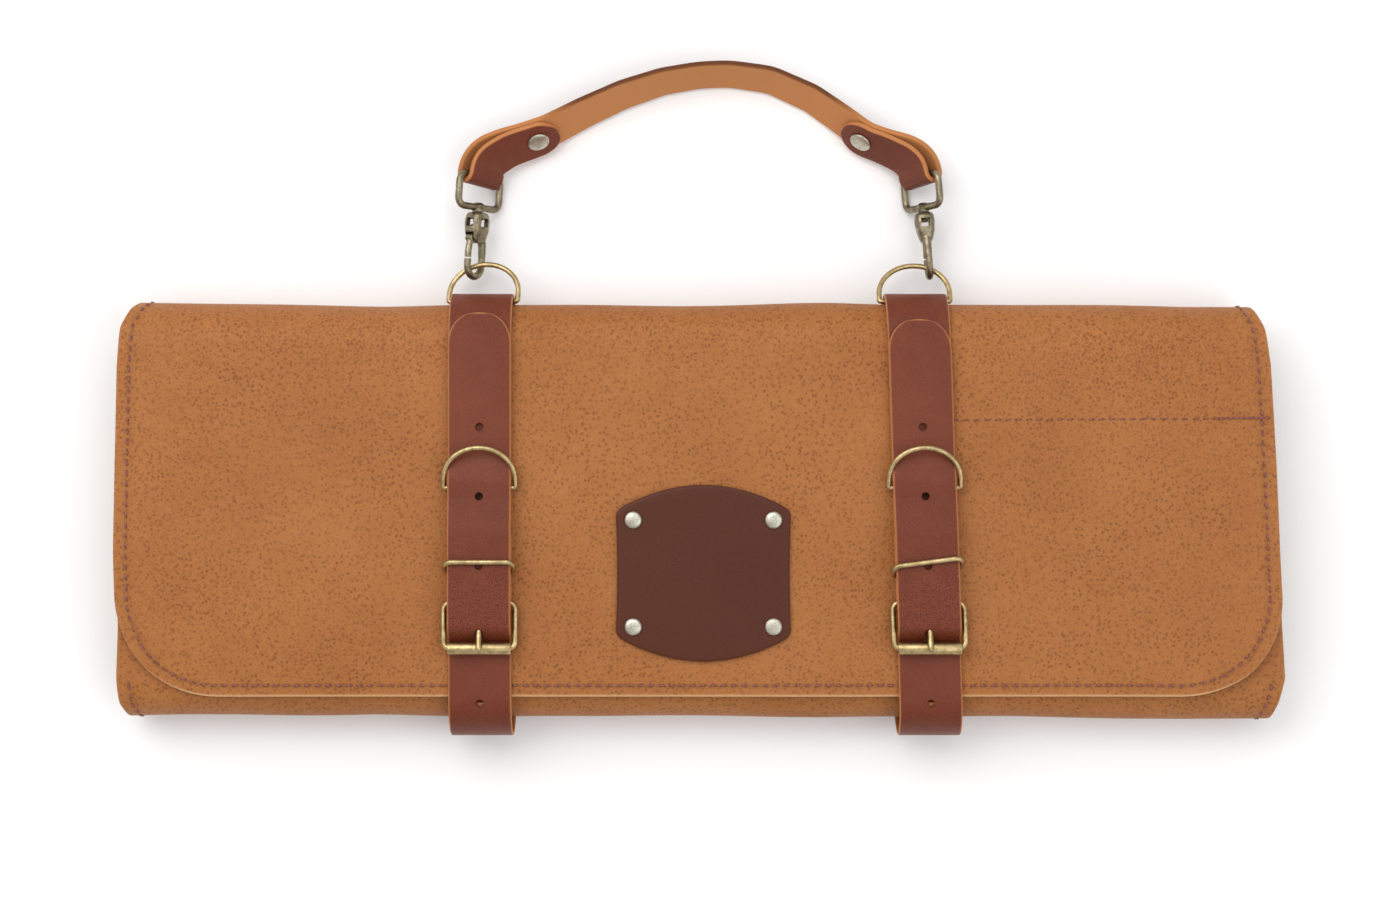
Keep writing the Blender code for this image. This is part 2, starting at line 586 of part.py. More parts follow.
def snap_hook(side, ring_point, ring_at, sway, roll_deg, brass):
    """Eye with its swivel post, hook body with window and bend, and the sprung gate."""
    down = unit((sway, -1, 0))
    roll = math.radians(roll_deg)
    spine = np.array((math.cos(roll), 0, -math.sin(roll)))
    spine = unit(spine - down * (spine @ down))
    normal = np.cross(spine, down)
    origin = np.asarray(ring_point) - down * ring_at
    frame = (origin, spine, down, normal)

    # The body: a thick block, then a round bend that ends in the tip
    rows = (
        (0.00, 0.62, 0.72),
        (0.10, 0.84, 0.92),
        (0.30, 1.00, 1.00),
        (0.62, 1.00, 0.90),
        (0.88, 0.92, 0.66),
        (1.00, 0.80, 0.50),
    )
    sections = []
    for share, wide, deep in rows:
        a, b = BLOCK_WIDTH / 2 * wide, BLOCK_DEPTH / 2 * deep
        cut = 0.42 * min(a, b)
        flat = [(a, b - cut), (a - cut, b), (-a + cut, b), (-a, b - cut)]
        flat += [(-a, -b + cut), (-a + cut, -b), (a - cut, -b), (a, -b + cut)]
        sections.append(place([(x, share * BLOCK_LENGTH, z) for x, z in flat], frame))
    body = loft(f"{side}_hook_body", sections, brass, pivot=origin)
    spread = HOOK_LEG_HALF_SPREAD
    bend = np.radians(np.linspace(0, 180, 11))
    bend = [(spread * math.cos(a), HOOK_BEND_AT + spread * math.sin(a), 0) for a in bend]
    legs = [(spread * 0.55, BLOCK_LENGTH * 0.70, 0), (spread * 0.92, BLOCK_LENGTH * 1.05, 0), (spread, HOOK_BEND_AT * 0.85, 0)]
    run = legs + bend + [(-spread, HOOK_TIP_AT, 0)]
    radii = np.full(len(run), HOOK_WIRE / 2)
    radii[:3] = HOOK_WIRE / 2 * np.array((1.25, 1.2, 1.05))
    leg = wire(f"{side}_hook_leg", place(run, frame), normal, radii, brass, 10, False)
    join(body, leg, "UNION")
    low = (-WINDOW_HALF_WIDTH, WINDOW_FROM, -BLOCK_DEPTH)
    high = (WINDOW_HALF_WIDTH, WINDOW_TO, BLOCK_DEPTH)
    hole = block(f"{side}_hook_window", low, high, brass, frame)
    join(body, hole, "DIFFERENCE")
    bore = turned(
        f"{side}_hook_bore",
        ((-EYE_BAR_BACK, POST_RADIUS + GAP), ((WINDOW_FROM + WINDOW_TO) / 2, POST_RADIUS + GAP)),
        origin,
        down,
        spine,
        brass,
        12,
    )
    join(body, bore, "DIFFERENCE")
    slot_half = HOOK_WIRE / 2 + 2 * GAP
    slot = block(
        f"{side}_gate_slot",
        (-BLOCK_WIDTH, GATE_PIVOT_AT - 0.0026, -slot_half),
        (-GATE_PIVOT_OFF + 0.0026, BLOCK_LENGTH + 0.002, slot_half),
        brass,
        frame,
    )
    join(body, slot, "DIFFERENCE")
    pivot = place((-GATE_PIVOT_OFF, GATE_PIVOT_AT, 0), frame)
    reach = BLOCK_DEPTH / 2 * 0.66
    pin = turned(f"{side}_gate_pin", ((-reach, PIN_RADIUS), (reach, PIN_RADIUS)), pivot, normal, spine, brass, 8)
    join(body, pin, "UNION")

    # The gate: a round bar from the pin to just short of the hook's tip
    half = HOOK_WIRE / 2 + GAP / 2
    knuckle = ((-half, GATE_KNUCKLE_RADIUS), (half, GATE_KNUCKLE_RADIUS))
    gate = turned(f"{side}_hook_gate", knuckle, pivot, normal, spine, brass, 12, pivot=pivot)
    tip_gap = 2.2 * GAP
    run = [
        (-GATE_PIVOT_OFF - 0.0002, GATE_PIVOT_AT + 0.0004, 0),
        (-spread * 0.92, GATE_PIVOT_AT + 0.0028, 0),
        (-spread, HOOK_TIP_AT - tip_gap - 0.0030, 0),
        (-spread, HOOK_TIP_AT - tip_gap, 0),
    ]
    bar = wire(f"{side}_gate_bar", place(run, frame), normal, HOOK_WIRE / 2 * 0.94, brass, 8, False)
    join(gate, bar, "UNION")
    clear = PIN_RADIUS + GAP
    hole = turned(f"{side}_gate_bore", ((-BLOCK_DEPTH, clear), (BLOCK_DEPTH, clear)), pivot, normal, spine, brass, 8)
    join(gate, hole, "DIFFERENCE")
    return frame, pivot


def snap_eye(side, frame, lean_deg, toward, brass):
    """The strap's eye: a rounded wire loop, a collar, and the post whose head turns in the window."""
    origin, down = frame[0], frame[2]
    lean = math.radians(lean_deg)
    across = np.array((toward * math.cos(lean), 0, math.sin(lean)))
    across = unit(across - down * (across @ down))
    half = HANDLE_WIDTH / 2 + EYE_SIDE_CLEARANCE + EYE_WIRE / 2
    flat = frame_path(half, (0, EYE_BAR_BACK), (0, EYE_LENGTH), EYE_CORNER)
    path = origin + flat[:, :1] * across - (EYE_BAR_BACK + flat[:, 1:]) * down
    eye = wire(f"{side}_hook_eye", path, np.cross(across, down), EYE_WIRE / 2, brass, 8)
    profile = (
        (-0.0036, COLLAR_RADIUS - 0.0010),
        (-0.0028, COLLAR_RADIUS),
        (-GAP, COLLAR_RADIUS),
        (-GAP, POST_RADIUS),
        (WINDOW_FROM + GAP, POST_RADIUS),
        (WINDOW_FROM + GAP, POST_HEAD_RADIUS),
        (POST_HEAD_TO, POST_HEAD_RADIUS),
    )
    post = turned(f"{side}_swivel_post", profile, origin, down, across, brass, 12)
    join(eye, post, "UNION")
    return origin - down * EYE_LENGTH, across


def smooth_through(rows, count):
    """A Catmull-Rom curve through rows of equal width, sampled evenly by length of its first two columns."""
    rows = np.asarray(rows, float)
    padded = np.concatenate([[2 * rows[0] - rows[1]], rows, [2 * rows[-1] - rows[-2]]])
    fine = []
    for i in range(1, len(padded) - 2):
        a, b, c, d = padded[i - 1 : i + 3]
        t = np.linspace(0, 1, 24, endpoint=False)[:, None]
        fine.append(0.5 * (2 * b + (c - a) * t + (2 * a - 5 * b + 4 * c - d) * t**2 + (3 * b - a - 3 * c + d) * t**3))
    fine = np.concatenate(fine + [rows[-1:]])
    length = np.concatenate([[0], np.cumsum(np.linalg.norm(np.diff(fine[:, :2], axis=0), axis=1))])
    at = np.linspace(0, length[-1], count)
    return np.stack([np.interp(at, length, fine[:, k]) for k in range(rows.shape[1])], axis=1), at


def handle(left_bar, right_bar, left_down, right_down, finish):
    """The handle strap on its edge: it loops round each eye and is riveted back onto itself."""
    span = right_bar - left_bar
    table = np.array(HANDLE_LINE)
    line = np.stack(
        [
            left_bar[0] + span[0] * table[:, 0],
            left_bar[1] + span[1] * table[:, 0] + HANDLE_RISE * table[:, 1],
            table[:, 2],
        ],
        axis=1,
    )
    # The strap leaves each eye straight along its hook before it bends
    leads = HANDLE_LEAD * np.array((0.5, 1.0))
    first = [(*(left_bar - left_down * lead)[:2], table[0, 2]) for lead in leads]
    last = [(*(right_bar - right_down * lead)[:2], table[-1, 2]) for lead in leads[::-1]]
    line = np.concatenate([line[:1], first, line[1:-1], last, line[-1:]])
    base, at = smooth_through(line, 241)
    length = at[-1]
    along = tangents(base[:, :2], False)
    outward = np.stack([-along[:, 1], along[:, 0]], axis=1)
    loop = EYE_WIRE / 2 + LOOP_CLEARANCE + HANDLE_WALL / 2
    touch = HANDLE_WALL / 2 + GAP / 2
    closing = HANDLE_RETURN * 0.62

    def station(s, offset):
        p = np.array([np.interp(s, at, base[:, k]) for k in range(2)])
        n = unit([np.interp(s, at, outward[:, k]) for k in range(2)])
        lean = math.radians(np.interp(s, at, base[:, 2]))
        rest = HANDLE_WIDTH / 2 * math.sin(lean) + HANDLE_WALL * math.cos(lean) + HANDLE_FLOOR_GAP
        edge = min(1.0, min(s, length - s) / (HANDLE_RETURN * 0.9))
        height = HOOK_AXIS_Z + (rest - HOOK_AXIS_Z) * edge * edge * (3 - 2 * edge)
        wide = np.array((*(n * math.cos(lean)), math.sin(lean)))
        off = np.array((*(n * math.sin(lean)), -math.cos(lean)))
        return np.array((*p, height)) + off * offset, wide, off

    def spread(s):
        """Half the distance between the two strands at a distance from the eye."""
        k = min(1.0, s / closing)
        return loop + (touch - loop) * k * k * (3 - 2 * k)

    stations = []
    back = np.linspace(HANDLE_RETURN, 0, 13)
    tip = HANDLE_WIDTH / 2
    for s in back[:-1]:
        stations.append(station(s, -spread(s)))
    for a in np.radians(np.linspace(-90, 90, 9)):
        centre, wide, off = station(0, 0)
        ahead = np.array((*along[0], 0))
        stations.append((centre + (off * math.sin(a) - ahead * math.cos(a)) * loop, wide, off))
    out = np.concatenate([np.linspace(0, HANDLE_RETURN, 13)[1:], np.linspace(HANDLE_RETURN, length / 2, 10)[1:]])
    for s in out:
        stations.append(station(s, spread(s)))
    for s in out[::-1][1:]:
        stations.append(station(length - s, spread(s)))
    for a in np.radians(np.linspace(90, -90, 9)):
        centre, wide, off = station(length, 0)
        ahead = np.array((*along[-1], 0))
        stations.append((centre + (off * math.sin(a) + ahead * math.cos(a)) * loop, wide, off))
    for s in back[::-1][1:]:
        stations.append(station(length - s, -spread(s)))

    path = np.array([row[0] for row in stations])
    wide = unit(np.array([row[1] for row in stations]))
    # Round both ends: extra stations close the tip over half the width
    lengths = np.concatenate([[0], np.cumsum(np.linalg.norm(np.diff(path, axis=0), axis=1))])
    closer = tip * (1 - np.cos(np.radians((12, 30, 48, 66))))
    marks = np.unique(np.concatenate([lengths, [0], closer, lengths[-1] - closer]))
    path = np.stack([np.interp(marks, lengths, path[:, k]) for k in range(3)], axis=1)
    wide = unit(np.stack([np.interp(marks, lengths, wide[:, k]) for k in range(3)], axis=1))
    from_end = np.minimum(marks, marks[-1] - marks)
    rounding = np.clip(1 - from_end / tip, 0, 0.985)
    half = HANDLE_WIDTH / 2 * np.sqrt(1 - rounding**2)
    run = tangents(path, False)
    normal = unit(np.cross(wide, run))
    h = HANDLE_WALL / 2
    edge = h * 0.4
    sections = []
    for p, w, n, a in zip(path, wide, normal, half):
        e = min(edge, a / 2)
        flat = [(-a, -h + e), (-a + e, -h), (a - e, -h), (a, -h + e), (a, h - e), (a - e, h), (-a + e, h), (-a, h - e)]
        sections.append([p + w * x + n * y for x, y in flat])
    loft("handle_strap", sections, finish)

    # The seats of the two rivets, on the inner face of each returned end
    seats = []
    for s, sign in ((HANDLE_RETURN - tip, 1), (HANDLE_RETURN - tip, -1)):
        here = s if sign > 0 else length - s
        p, w, off = station(here, -spread(s))
        seats.append((p - off * (HANDLE_WALL / 2 + GAP), -off, w))
    return seats


def centre_on_floor():
    """Moves the whole part so that the middle of its outline lies over the origin."""
    bpy.context.view_layer.update()
    corners = [o.matrix_world @ v.co for o in bpy.data.objects if not o.hide_render for v in o.data.vertices]
    corners = np.array(corners)
    middle = (corners.min(axis=0) + corners.max(axis=0)) / 2
    shift = np.array((-middle[0], -middle[1], 0.0))
    for o in bpy.data.objects:
        o.location = np.array(o.location) + shift
    return shift


def main():
    for o in list(bpy.data.objects):
        bpy.data.objects.remove(o, do_unlink=True)
    tan = material("tan_leather", (0.46, 0.19, 0.065), 0.55, 0.0)
    red = material("red_brown_leather", (0.26, 0.075, 0.035), 0.45, 0.0)
    dark = material("dark_brown_leather", (0.14, 0.043, 0.025), 0.5, 0.0)
    brass = material("brass", (0.42, 0.33, 0.17), 0.35, 1.0)
    hook_brass = material("dark_brass", (0.25, 0.19, 0.10), 0.35, 1.0)
    nickel = material("nickel", (0.55, 0.52, 0.45), 0.3, 1.0)

    roll_sheet(tan)
    patch(dark)
    side = PATCH_SIDE_HEIGHT / 2 - RIVET_INSET_Y
    across = PATCH_WIDTH / 2 - RIVET_INSET_X
    corners = (("upper_left", -1, 1), ("upper_right", 1, 1), ("lower_left", -1, -1), ("lower_right", 1, -1))
    for name, sx, sy in corners:
        seat = (PATCH_X + sx * across, PATCH_Y + sy * side, FLAP_Z + PATCH_WALL + 2 * GAP)
        rivet(f"patch_rivet_{name}", seat, Z_AXIS, X_AXIS, RIVET_RADIUS, RIVET_HEIGHT, nickel)

    ends = []
    joints = []
    sets = (
        ("left", LEFT_BELT_X, 0.0, BELT_TIP_Y, LEFT_TOP_D_ROLL_DEG, LEFT_HOOK_OFF, LEFT_HOOK_SWAY, LEFT_HOOK_ROLL_DEG),
        (
            "right",
            RIGHT_BELT_X,
            RIGHT_BELT_LEAN,
            BELT_TIP_Y - RIGHT_TIP_SHORT,
            0.0,
            RIGHT_HOOK_OFF,
            RIGHT_HOOK_SWAY,
            RIGHT_HOOK_ROLL_DEG,
        ),
    )
    for name, x, lean, tip_y, ring_roll, off, sway, roll in sets:
        on_ring = belt_set(name, x, lean, tip_y, ring_roll, off, red, brass)
        ring_at = LEFT_HOOK_RING_AT if name == "left" else RIGHT_HOOK_RING_AT
        frame, pivot = snap_hook(name, on_ring, ring_at, sway, roll, hook_brass)
        toward = -1 if name == "left" else 1
        lean_deg = HANDLE_LINE[0 if name == "left" else -1][2]
        bar, width_axis = snap_eye(name, frame, lean_deg, toward, hook_brass)
        ends.append((bar, frame[2]))
        joints += [(f"{name}_swivel", frame[0], frame[2]), (f"{name}_gate", pivot, frame[3])]
    (left_bar, left_down), (right_bar, right_down) = ends
    seats = handle(left_bar, right_bar, left_down, right_down, red)
    for name, (seat, face, width_axis) in zip(("left", "right"), seats):
        rivet(f"{name}_handle_rivet", seat, face, width_axis, HANDLE_RIVET_RADIUS, RIVET_HEIGHT, nickel)

    shift = centre_on_floor()
    for name, at, axis in joints:
        print(name, "at", (at + shift).round(5), "axis", axis.round(5))


main()
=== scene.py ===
# A leather chef's knife roll, lying on its back on a pale table, rolled up and closed by two belts.
# X runs along the roll, +Y towards the carrying handle, +Z up. Metres throughout.
import json
import math

import bpy
import numpy as np
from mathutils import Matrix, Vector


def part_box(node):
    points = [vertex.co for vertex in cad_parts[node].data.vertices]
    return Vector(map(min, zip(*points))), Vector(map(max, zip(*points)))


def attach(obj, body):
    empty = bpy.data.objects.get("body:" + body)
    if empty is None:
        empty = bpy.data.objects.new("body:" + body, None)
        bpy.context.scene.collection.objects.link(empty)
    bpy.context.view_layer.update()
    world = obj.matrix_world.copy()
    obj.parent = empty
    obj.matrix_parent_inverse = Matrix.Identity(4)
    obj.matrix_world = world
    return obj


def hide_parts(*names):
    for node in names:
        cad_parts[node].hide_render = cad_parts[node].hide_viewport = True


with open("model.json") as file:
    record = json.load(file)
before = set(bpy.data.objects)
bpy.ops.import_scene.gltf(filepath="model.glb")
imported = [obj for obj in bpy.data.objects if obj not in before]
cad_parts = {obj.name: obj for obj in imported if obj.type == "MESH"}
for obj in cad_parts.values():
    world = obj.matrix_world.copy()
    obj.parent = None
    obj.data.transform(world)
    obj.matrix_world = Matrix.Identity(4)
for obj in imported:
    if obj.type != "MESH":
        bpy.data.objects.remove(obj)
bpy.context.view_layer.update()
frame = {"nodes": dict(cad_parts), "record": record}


# The table and the light
# The roll lies on a white table, lit softly from the upper left, and is seen
# from straight above.
TABLE_SIZE = 6.0
TABLE_COLOUR = (0.92, 0.92, 0.92)
CAMERA_AT = (-0.0038, -0.0274)
CAMERA_ABOVE = 1.2180
CAMERA_LENS = 74.7
CAMERA_SENSOR = 36.0
TABLE_DROP = 0.0002
WORLD_STRENGTH = 0.66
# Each row is (name, place, size, watts, colour)
LIGHTS = (
    ("key_light", (-0.75, 0.62, 1.25), 1.15, 10.5, (1.0, 0.985, 0.96)),
    ("fill_light", (0.95, -0.45, 1.35), 1.5, 7.5, (0.97, 0.985, 1.0)),
    ("top_light", (0.0, 0.9, 1.6), 1.2, 7.0, (1.0, 1.0, 1.0)),
)


def shader_of(name):
    """A new material, its node tree and the surface shader inside."""
    made = bpy.data.materials.new(name)
    made.use_nodes = True
    return made, made.node_tree, made.node_tree.nodes["Principled BSDF"]


def set_out(name, data, place=(0.0, 0.0, 0.0)):
    """A new object that holds the data, in the scene at a place."""
    made = bpy.data.objects.new(name, data)
    bpy.context.scene.collection.objects.link(made)
    made.location = place
    return made


def soft_light(name, place, size, power, colour):
    """A square area light that faces the middle of the roll."""
    data = bpy.data.lights.new(name, "AREA")
    data.shape = "SQUARE"
    data.size = size
    data.energy = power
    data.color = colour
    lamp = set_out(name, data, place)
    away = np.array(place, float)
    pitch = math.acos(away[2] / np.linalg.norm(away))
    lamp.rotation_euler = (pitch, 0.0, math.atan2(away[0], -away[1]))


table_finish, _, table_shader = shader_of("table_white")
table_shader.inputs["Base Color"].default_value = (*TABLE_COLOUR, 1.0)
table_shader.inputs["Roughness"].default_value = 0.9
table_shader.inputs["Specular IOR Level"].default_value = 0.1
half = TABLE_SIZE / 2
table_mesh = bpy.data.meshes.new("table")
corners = [(-half, -half, 0), (half, -half, 0), (half, half, 0), (-half, half, 0)]
table_mesh.from_pydata(corners, [], [(0, 1, 2, 3)])
table_mesh.materials.append(table_finish)
table = set_out("table", table_mesh, (0.0, 0.0, -TABLE_DROP))

for light in LIGHTS:
    soft_light(*light)
world = bpy.data.worlds.new("studio")
world.use_nodes = True
world.node_tree.nodes["Background"].inputs["Color"].default_value = (1.0, 1.0, 1.0, 1.0)
world.node_tree.nodes["Background"].inputs["Strength"].default_value = WORLD_STRENGTH
bpy.context.scene.world = world
bpy.context.scene.view_settings.view_transform = "Standard"

camera_data = bpy.data.cameras.new("camera")
camera_data.lens = CAMERA_LENS
camera_data.sensor_width = CAMERA_SENSOR
bpy.context.scene.camera = set_out("camera", camera_data, (*CAMERA_AT, CAMERA_ABOVE))


# The rolled leather
# One sheet of tan, pebble-grained cowhide, 2 mm thick, rolled about 2.4 turns
# round an open core, with its rounded flap on the outside. Its cut edges are pale and raw.
BODY_WALL = 0.0020
LAYER_PITCH = 0.0038
FOLD_DEPTH = 0.0160
FLAP_SHORT_OF_FOLD = 0.0098
FLAP_CORNER = 0.0420
INNER_END_LENGTH = 0.0900
BELT_X = {"left": -0.0905, "right": 0.0931}
BELT_LEAN = {"left": 0.0, "right": -0.032}
roll_low, roll_high = (np.array(c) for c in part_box("roll_sheet"))
roll_top = roll_high[1]
roll_bottom = roll_low[1]
roll_half = (roll_high[0] - roll_low[0]) / 2
roll_height = roll_top - roll_bottom
roll_middle_y = (roll_top + roll_bottom) / 2

# The outline of the leather: each row is (share of the height from the top,
# left edge and right edge as shares of the half length)
OUTLINE = (
    (0.000, 0.962, 0.950),
    (0.020, 0.976, 0.957),
    (0.060, 0.989, 0.968),
    (0.150, 0.994, 0.977),
    (0.400, 0.998, 0.986),
    (0.600, 1.000, 0.992),
    (0.780, 0.996, 0.999),
    (0.900, 0.999, 1.004),
    (0.960, 0.996, 0.995),
    (1.000, 0.984, 0.985),
)


def unit(v):
    """Vectors of length one."""
    v = np.asarray(v, float)
    return v / np.linalg.norm(v, axis=-1, keepdims=True)


def full_turn(count):
    """Evenly spaced angles round a circle."""
    return 2 * math.pi * np.arange(count) / count


def half_turn(centre_y, centre_z, depth, rise, steps, toward):
    """Half an ellipse in the YZ plane, from its top round to its bottom: y by the cosine, z by the sine."""
    turn = np.linspace(math.pi / 2, -math.pi / 2, steps)
    return np.stack([centre_y + toward * depth * np.cos(turn), centre_z + rise * np.sin(turn)], axis=1)


def level_run(from_y, to_y, z, steps):
    """A straight level run in the YZ plane, without its two ends."""
    y = np.linspace(from_y, to_y, steps)[1:-1]
    return np.stack([y, np.full(len(y), z)], axis=1)


def spiral_line():
    """The middle of the leather in the YZ plane: level runs and half ellipses, each turn one pitch
    inside the last."""
    top_z = roll_high[2] - BODY_WALL / 2
    low_z = roll_low[2] + BODY_WALL / 2
    fold_top = roll_top - BODY_WALL / 2 - FOLD_DEPTH
    low_fold = roll_bottom + BODY_WALL / 2 + FOLD_DEPTH
    parts = [[(roll_bottom + FLAP_SHORT_OF_FOLD, top_z)]]
    parts.append(level_run(roll_bottom + FLAP_SHORT_OF_FOLD, fold_top, top_z, 300))
    for turn in range(2):
        step = LAYER_PITCH * turn
        back, front = low_z + step, top_z - step - LAYER_PITCH
        depth = FOLD_DEPTH - step
        parts.append(half_turn(fold_top, (top_z + low_z) / 2, depth, (top_z - low_z) / 2 - step, 160, 1))
        parts.append(level_run(fold_top, low_fold, back, 200))
        parts.append(half_turn(low_fold, (back + front) / 2, depth, (front - back) / 2, 160, -1)[::-1])
        end = fold_top if turn == 0 else low_fold + INNER_END_LENGTH
        parts.append(level_run(low_fold, end, front, 200))
    return np.concatenate(parts)


def along_line(line):
    """Each point's distance from the start of a line."""
    return np.concatenate([[0.0], np.cumsum(np.linalg.norm(np.diff(line, axis=0), axis=1))])


def points_at(marks, at, line):
    """Points of a line at marks along it, where at holds how far along each of its own points lies."""
    return np.stack([np.interp(marks, at, line[:, k]) for k in range(line.shape[1])], axis=1)


spiral = spiral_line()
spiral_at = along_line(spiral)
spiral_along = unit(np.gradient(spiral, spiral_at, axis=0))
sheet_length = spiral_at[-1]
# Where the flap's front run ends, and where the outer turn ends below the flap
front_end = roll_top - BODY_WALL / 2 - FOLD_DEPTH - (roll_bottom + FLAP_SHORT_OF_FOLD)
fold_arc = math.pi * (FOLD_DEPTH + (roll_high[2] - roll_low[2] - BODY_WALL) / 2) / 2
back_end = front_end + fold_arc + (roll_height - 2 * FOLD_DEPTH - BODY_WALL)
outer_end = back_end + fold_arc


def edge_at(s, side):
    """The leather's left (-1) or right (+1) edge, before the flap's corner is rounded."""
    table_of = np.array(OUTLINE)
    down = (roll_top - np.interp(s, spiral_at, spiral[:, 0])) / roll_height
    return side * roll_half * np.interp(down, table_of[:, 0], table_of[:, 1 if side < 0 else 2])


def corner_inset(s):
    """How far the flap's rounded corner draws its edge in: a quarter circle."""
    rest = np.clip(FLAP_CORNER - np.asarray(s, float), 0.0, None)
    return FLAP_CORNER - np.sqrt(FLAP_CORNER**2 - rest**2)


def bump_at(value, centre, width):
    """A smooth hill, one at its centre: a bell curve."""
    return np.exp(-(((value - centre) / width) ** 2))


rng = np.random.default_rng(7)
WAVES = [(rng.uniform(9, 46), rng.uniform(0, 2 * math.pi), rng.uniform(0, 2 * math.pi)) for _ in range(16)]


def swell(s, x):
    """How far the leather stands off its plain form: soft crossing waves, held down by the belts
    and the patch, a little proud between them, and curled up at the flap's right corner."""
    s, x = np.broadcast_arrays(np.asarray(s, float), np.asarray(x, float))
    y = np.interp(s, spiral_at, spiral[:, 0])
    waves = np.zeros_like(x)
    for pace, heading, phase in WAVES:
        waves = waves + np.sin(pace * (x * math.cos(heading) + s * math.sin(heading)) * 2 + phase) / pace
    waves = waves * 0.0042
    held = np.zeros_like(x)
    for side in ("left", "right"):
        middle = BELT_X[side] + BELT_LEAN[side] * (y - roll_middle_y)
        held = np.maximum(held, bump_at(x, middle, 0.026))
    on_front = (s < front_end).astype(float)
    patch_hold = bump_at(x, 0.0017, 0.052) * bump_at(y, -0.0737, 0.046) * on_front
    free = np.clip(1.0 - np.maximum(held, patch_hold), 0.0, 1.0) ** 1.5
    outer = np.clip((outer_end - s) / 0.02, 0.0, 1.0)
    level = np.clip(1.0 - np.clip(s - outer_end + 0.02, 0.0, None) / 0.02, 0.0, 1.0)
    crown = 0.0007 * np.sin(np.clip(s / front_end, 0.0, 1.0) * math.pi) * on_front
    curl = 0.0022 * bump_at(x, 0.2280, 0.024) * bump_at(s, 0.012, 0.022)
    curl = curl + 0.0007 * bump_at(x, -0.2330, 0.014) * bump_at(s, 0.018, 0.018)
    under = np.minimum(0.0, -0.00035 * held) * on_front
    return (np.clip(waves, -0.0009, 0.0012) * free * outer + crown * free) * level + curl + under


def skin_point(s, x, off):
    """Points of the sheet at a distance s along it and x across it, off metres from its middle
    towards the grain side, with the direction that the grain side faces."""
    s, x = np.broadcast_arrays(np.asarray(s, float), np.asarray(x, float))
    y, z = (np.interp(s, spiral_at, spiral[:, k]) for k in (0, 1))
    along_y, along_z = (np.interp(s, spiral_at, spiral_along[:, k]) for k in (0, 1))
    facing = unit(np.stack([np.zeros_like(x), -along_z, along_y], axis=-1))
    base = np.stack([x, y, z], axis=-1)
    return base + facing * (off + swell(s, x))[..., None], facing


def grid_quads(rows, around, loop_rows=False, loop_around=True):
    """Quads between neighbouring points of a grid, as an array of four point numbers each."""
    i = np.arange(rows if loop_rows else rows - 1)[:, None]
    k = np.arange(around if loop_around else around - 1)[None, :]
    a, b, n = i * around, (i + 1) % rows * around, (k + 1) % around
    return np.stack([a + k, b + k, b + n, a + n], axis=-1).reshape(-1, 4)


def closed_band(rings):
    """A closed flat body through rings whose first half runs back along their second half:
    quads between the rings, and quads straight across each end."""
    rows, around = rings.shape[:2]
    quads = grid_quads(rows, around)
    k = np.arange(around // 2 - 1)
    across = np.stack([k, k + 1, around - 2 - k, around - 1 - k], axis=-1)
    last = across[:, ::-1] + (rows - 1) * around
    return rings.reshape(-1, 3), [quads, across, last]


def closed_tube(rings):
    """A closed round body through rings: quads between them and a fan to the middle of each end."""
    rows, around = rings.shape[:2]
    points = np.concatenate([rings.reshape(-1, 3), rings[[0, -1]].mean(axis=1)])
    k = np.arange(around)
    n = (k + 1) % around
    first, last = rows * around, rows * around + 1
    base = (rows - 1) * around
    start = np.stack([np.full(around, first), k, n], axis=-1)
    end = np.stack([np.full(around, last), base + n, base + k], axis=-1)
    return points, [grid_quads(rows, around), start, end]


def looped_tube(rings):
    """A ring-shaped body: the last ring joins the first."""
    rows, around = rings.shape[:2]
    return rings.reshape(-1, 3), [grid_quads(rows, around, loop_rows=True)]


def six_volumes(points, faces):
    """Six times the volume inside the faces; below zero, they point in."""
    total = 0.0
    for block in faces:
        a = points[block[:, 0]]
        for k in range(1, block.shape[1] - 1):
            total += np.einsum("ij,ij->", a, np.cross(points[block[:, k]], points[block[:, k + 1]]))
    return total


def build(name, bodies, finish, words=None, sharp_deg=38.0):
    """One mesh object from closed bodies of (points, blocks of faces), each turned to face out.
    words holds a number or a vector for each point, by attribute name."""
    all_points, all_faces, start = [], [], 0
    for points, blocks in bodies:
        if six_volumes(points, blocks) < 0:
            blocks = [b[:, ::-1] for b in blocks]
        all_faces += [face for b in blocks for face in (b + start).tolist()]
        all_points.append(points)
        start += len(points)
    mesh = bpy.data.meshes.new(name)
    mesh.from_pydata(np.concatenate(all_points).tolist(), [], all_faces)
    for word, values in (words or {}).items():
        values = np.ascontiguousarray(values, np.float32)
        kind, key = ("FLOAT_VECTOR", "vector") if values.ndim == 2 else ("FLOAT", "value")
        mesh.attributes.new(word, kind, "POINT").data.foreach_set(key, values.ravel())
    mesh.materials.append(finish)
    mesh.polygons.foreach_set("use_smooth", np.ones(len(mesh.polygons), bool))
    mesh.update()
    mesh.set_sharp_from_angle(angle=math.radians(sharp_deg))
    return set_out(name, mesh)


def fit_out(piece, body, slot, *nodes):
    """Sets the piece on its body, and in place of its plain solids. Its slot is not used."""
    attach(piece, body)
    if nodes:
        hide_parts(*nodes)


def add_node(tree, kind, inputs=None, **settings):
    """A new node with its settings, its inputs set to values or joined to other nodes' sockets."""
    made = tree.nodes.new(kind)
    for key, value in settings.items():
        setattr(made, key, value)
    for key, value in (inputs or {}).items():
        if isinstance(value, bpy.types.NodeSocket):
            tree.links.new(value, made.inputs[key])
        else:
            made.inputs[key].default_value = value
    return made


def read_word(tree, word, socket):
    """A point attribute of the piece, as its number (Fac) or its vector."""
    return add_node(tree, "ShaderNodeAttribute", attribute_name=word).outputs[socket]


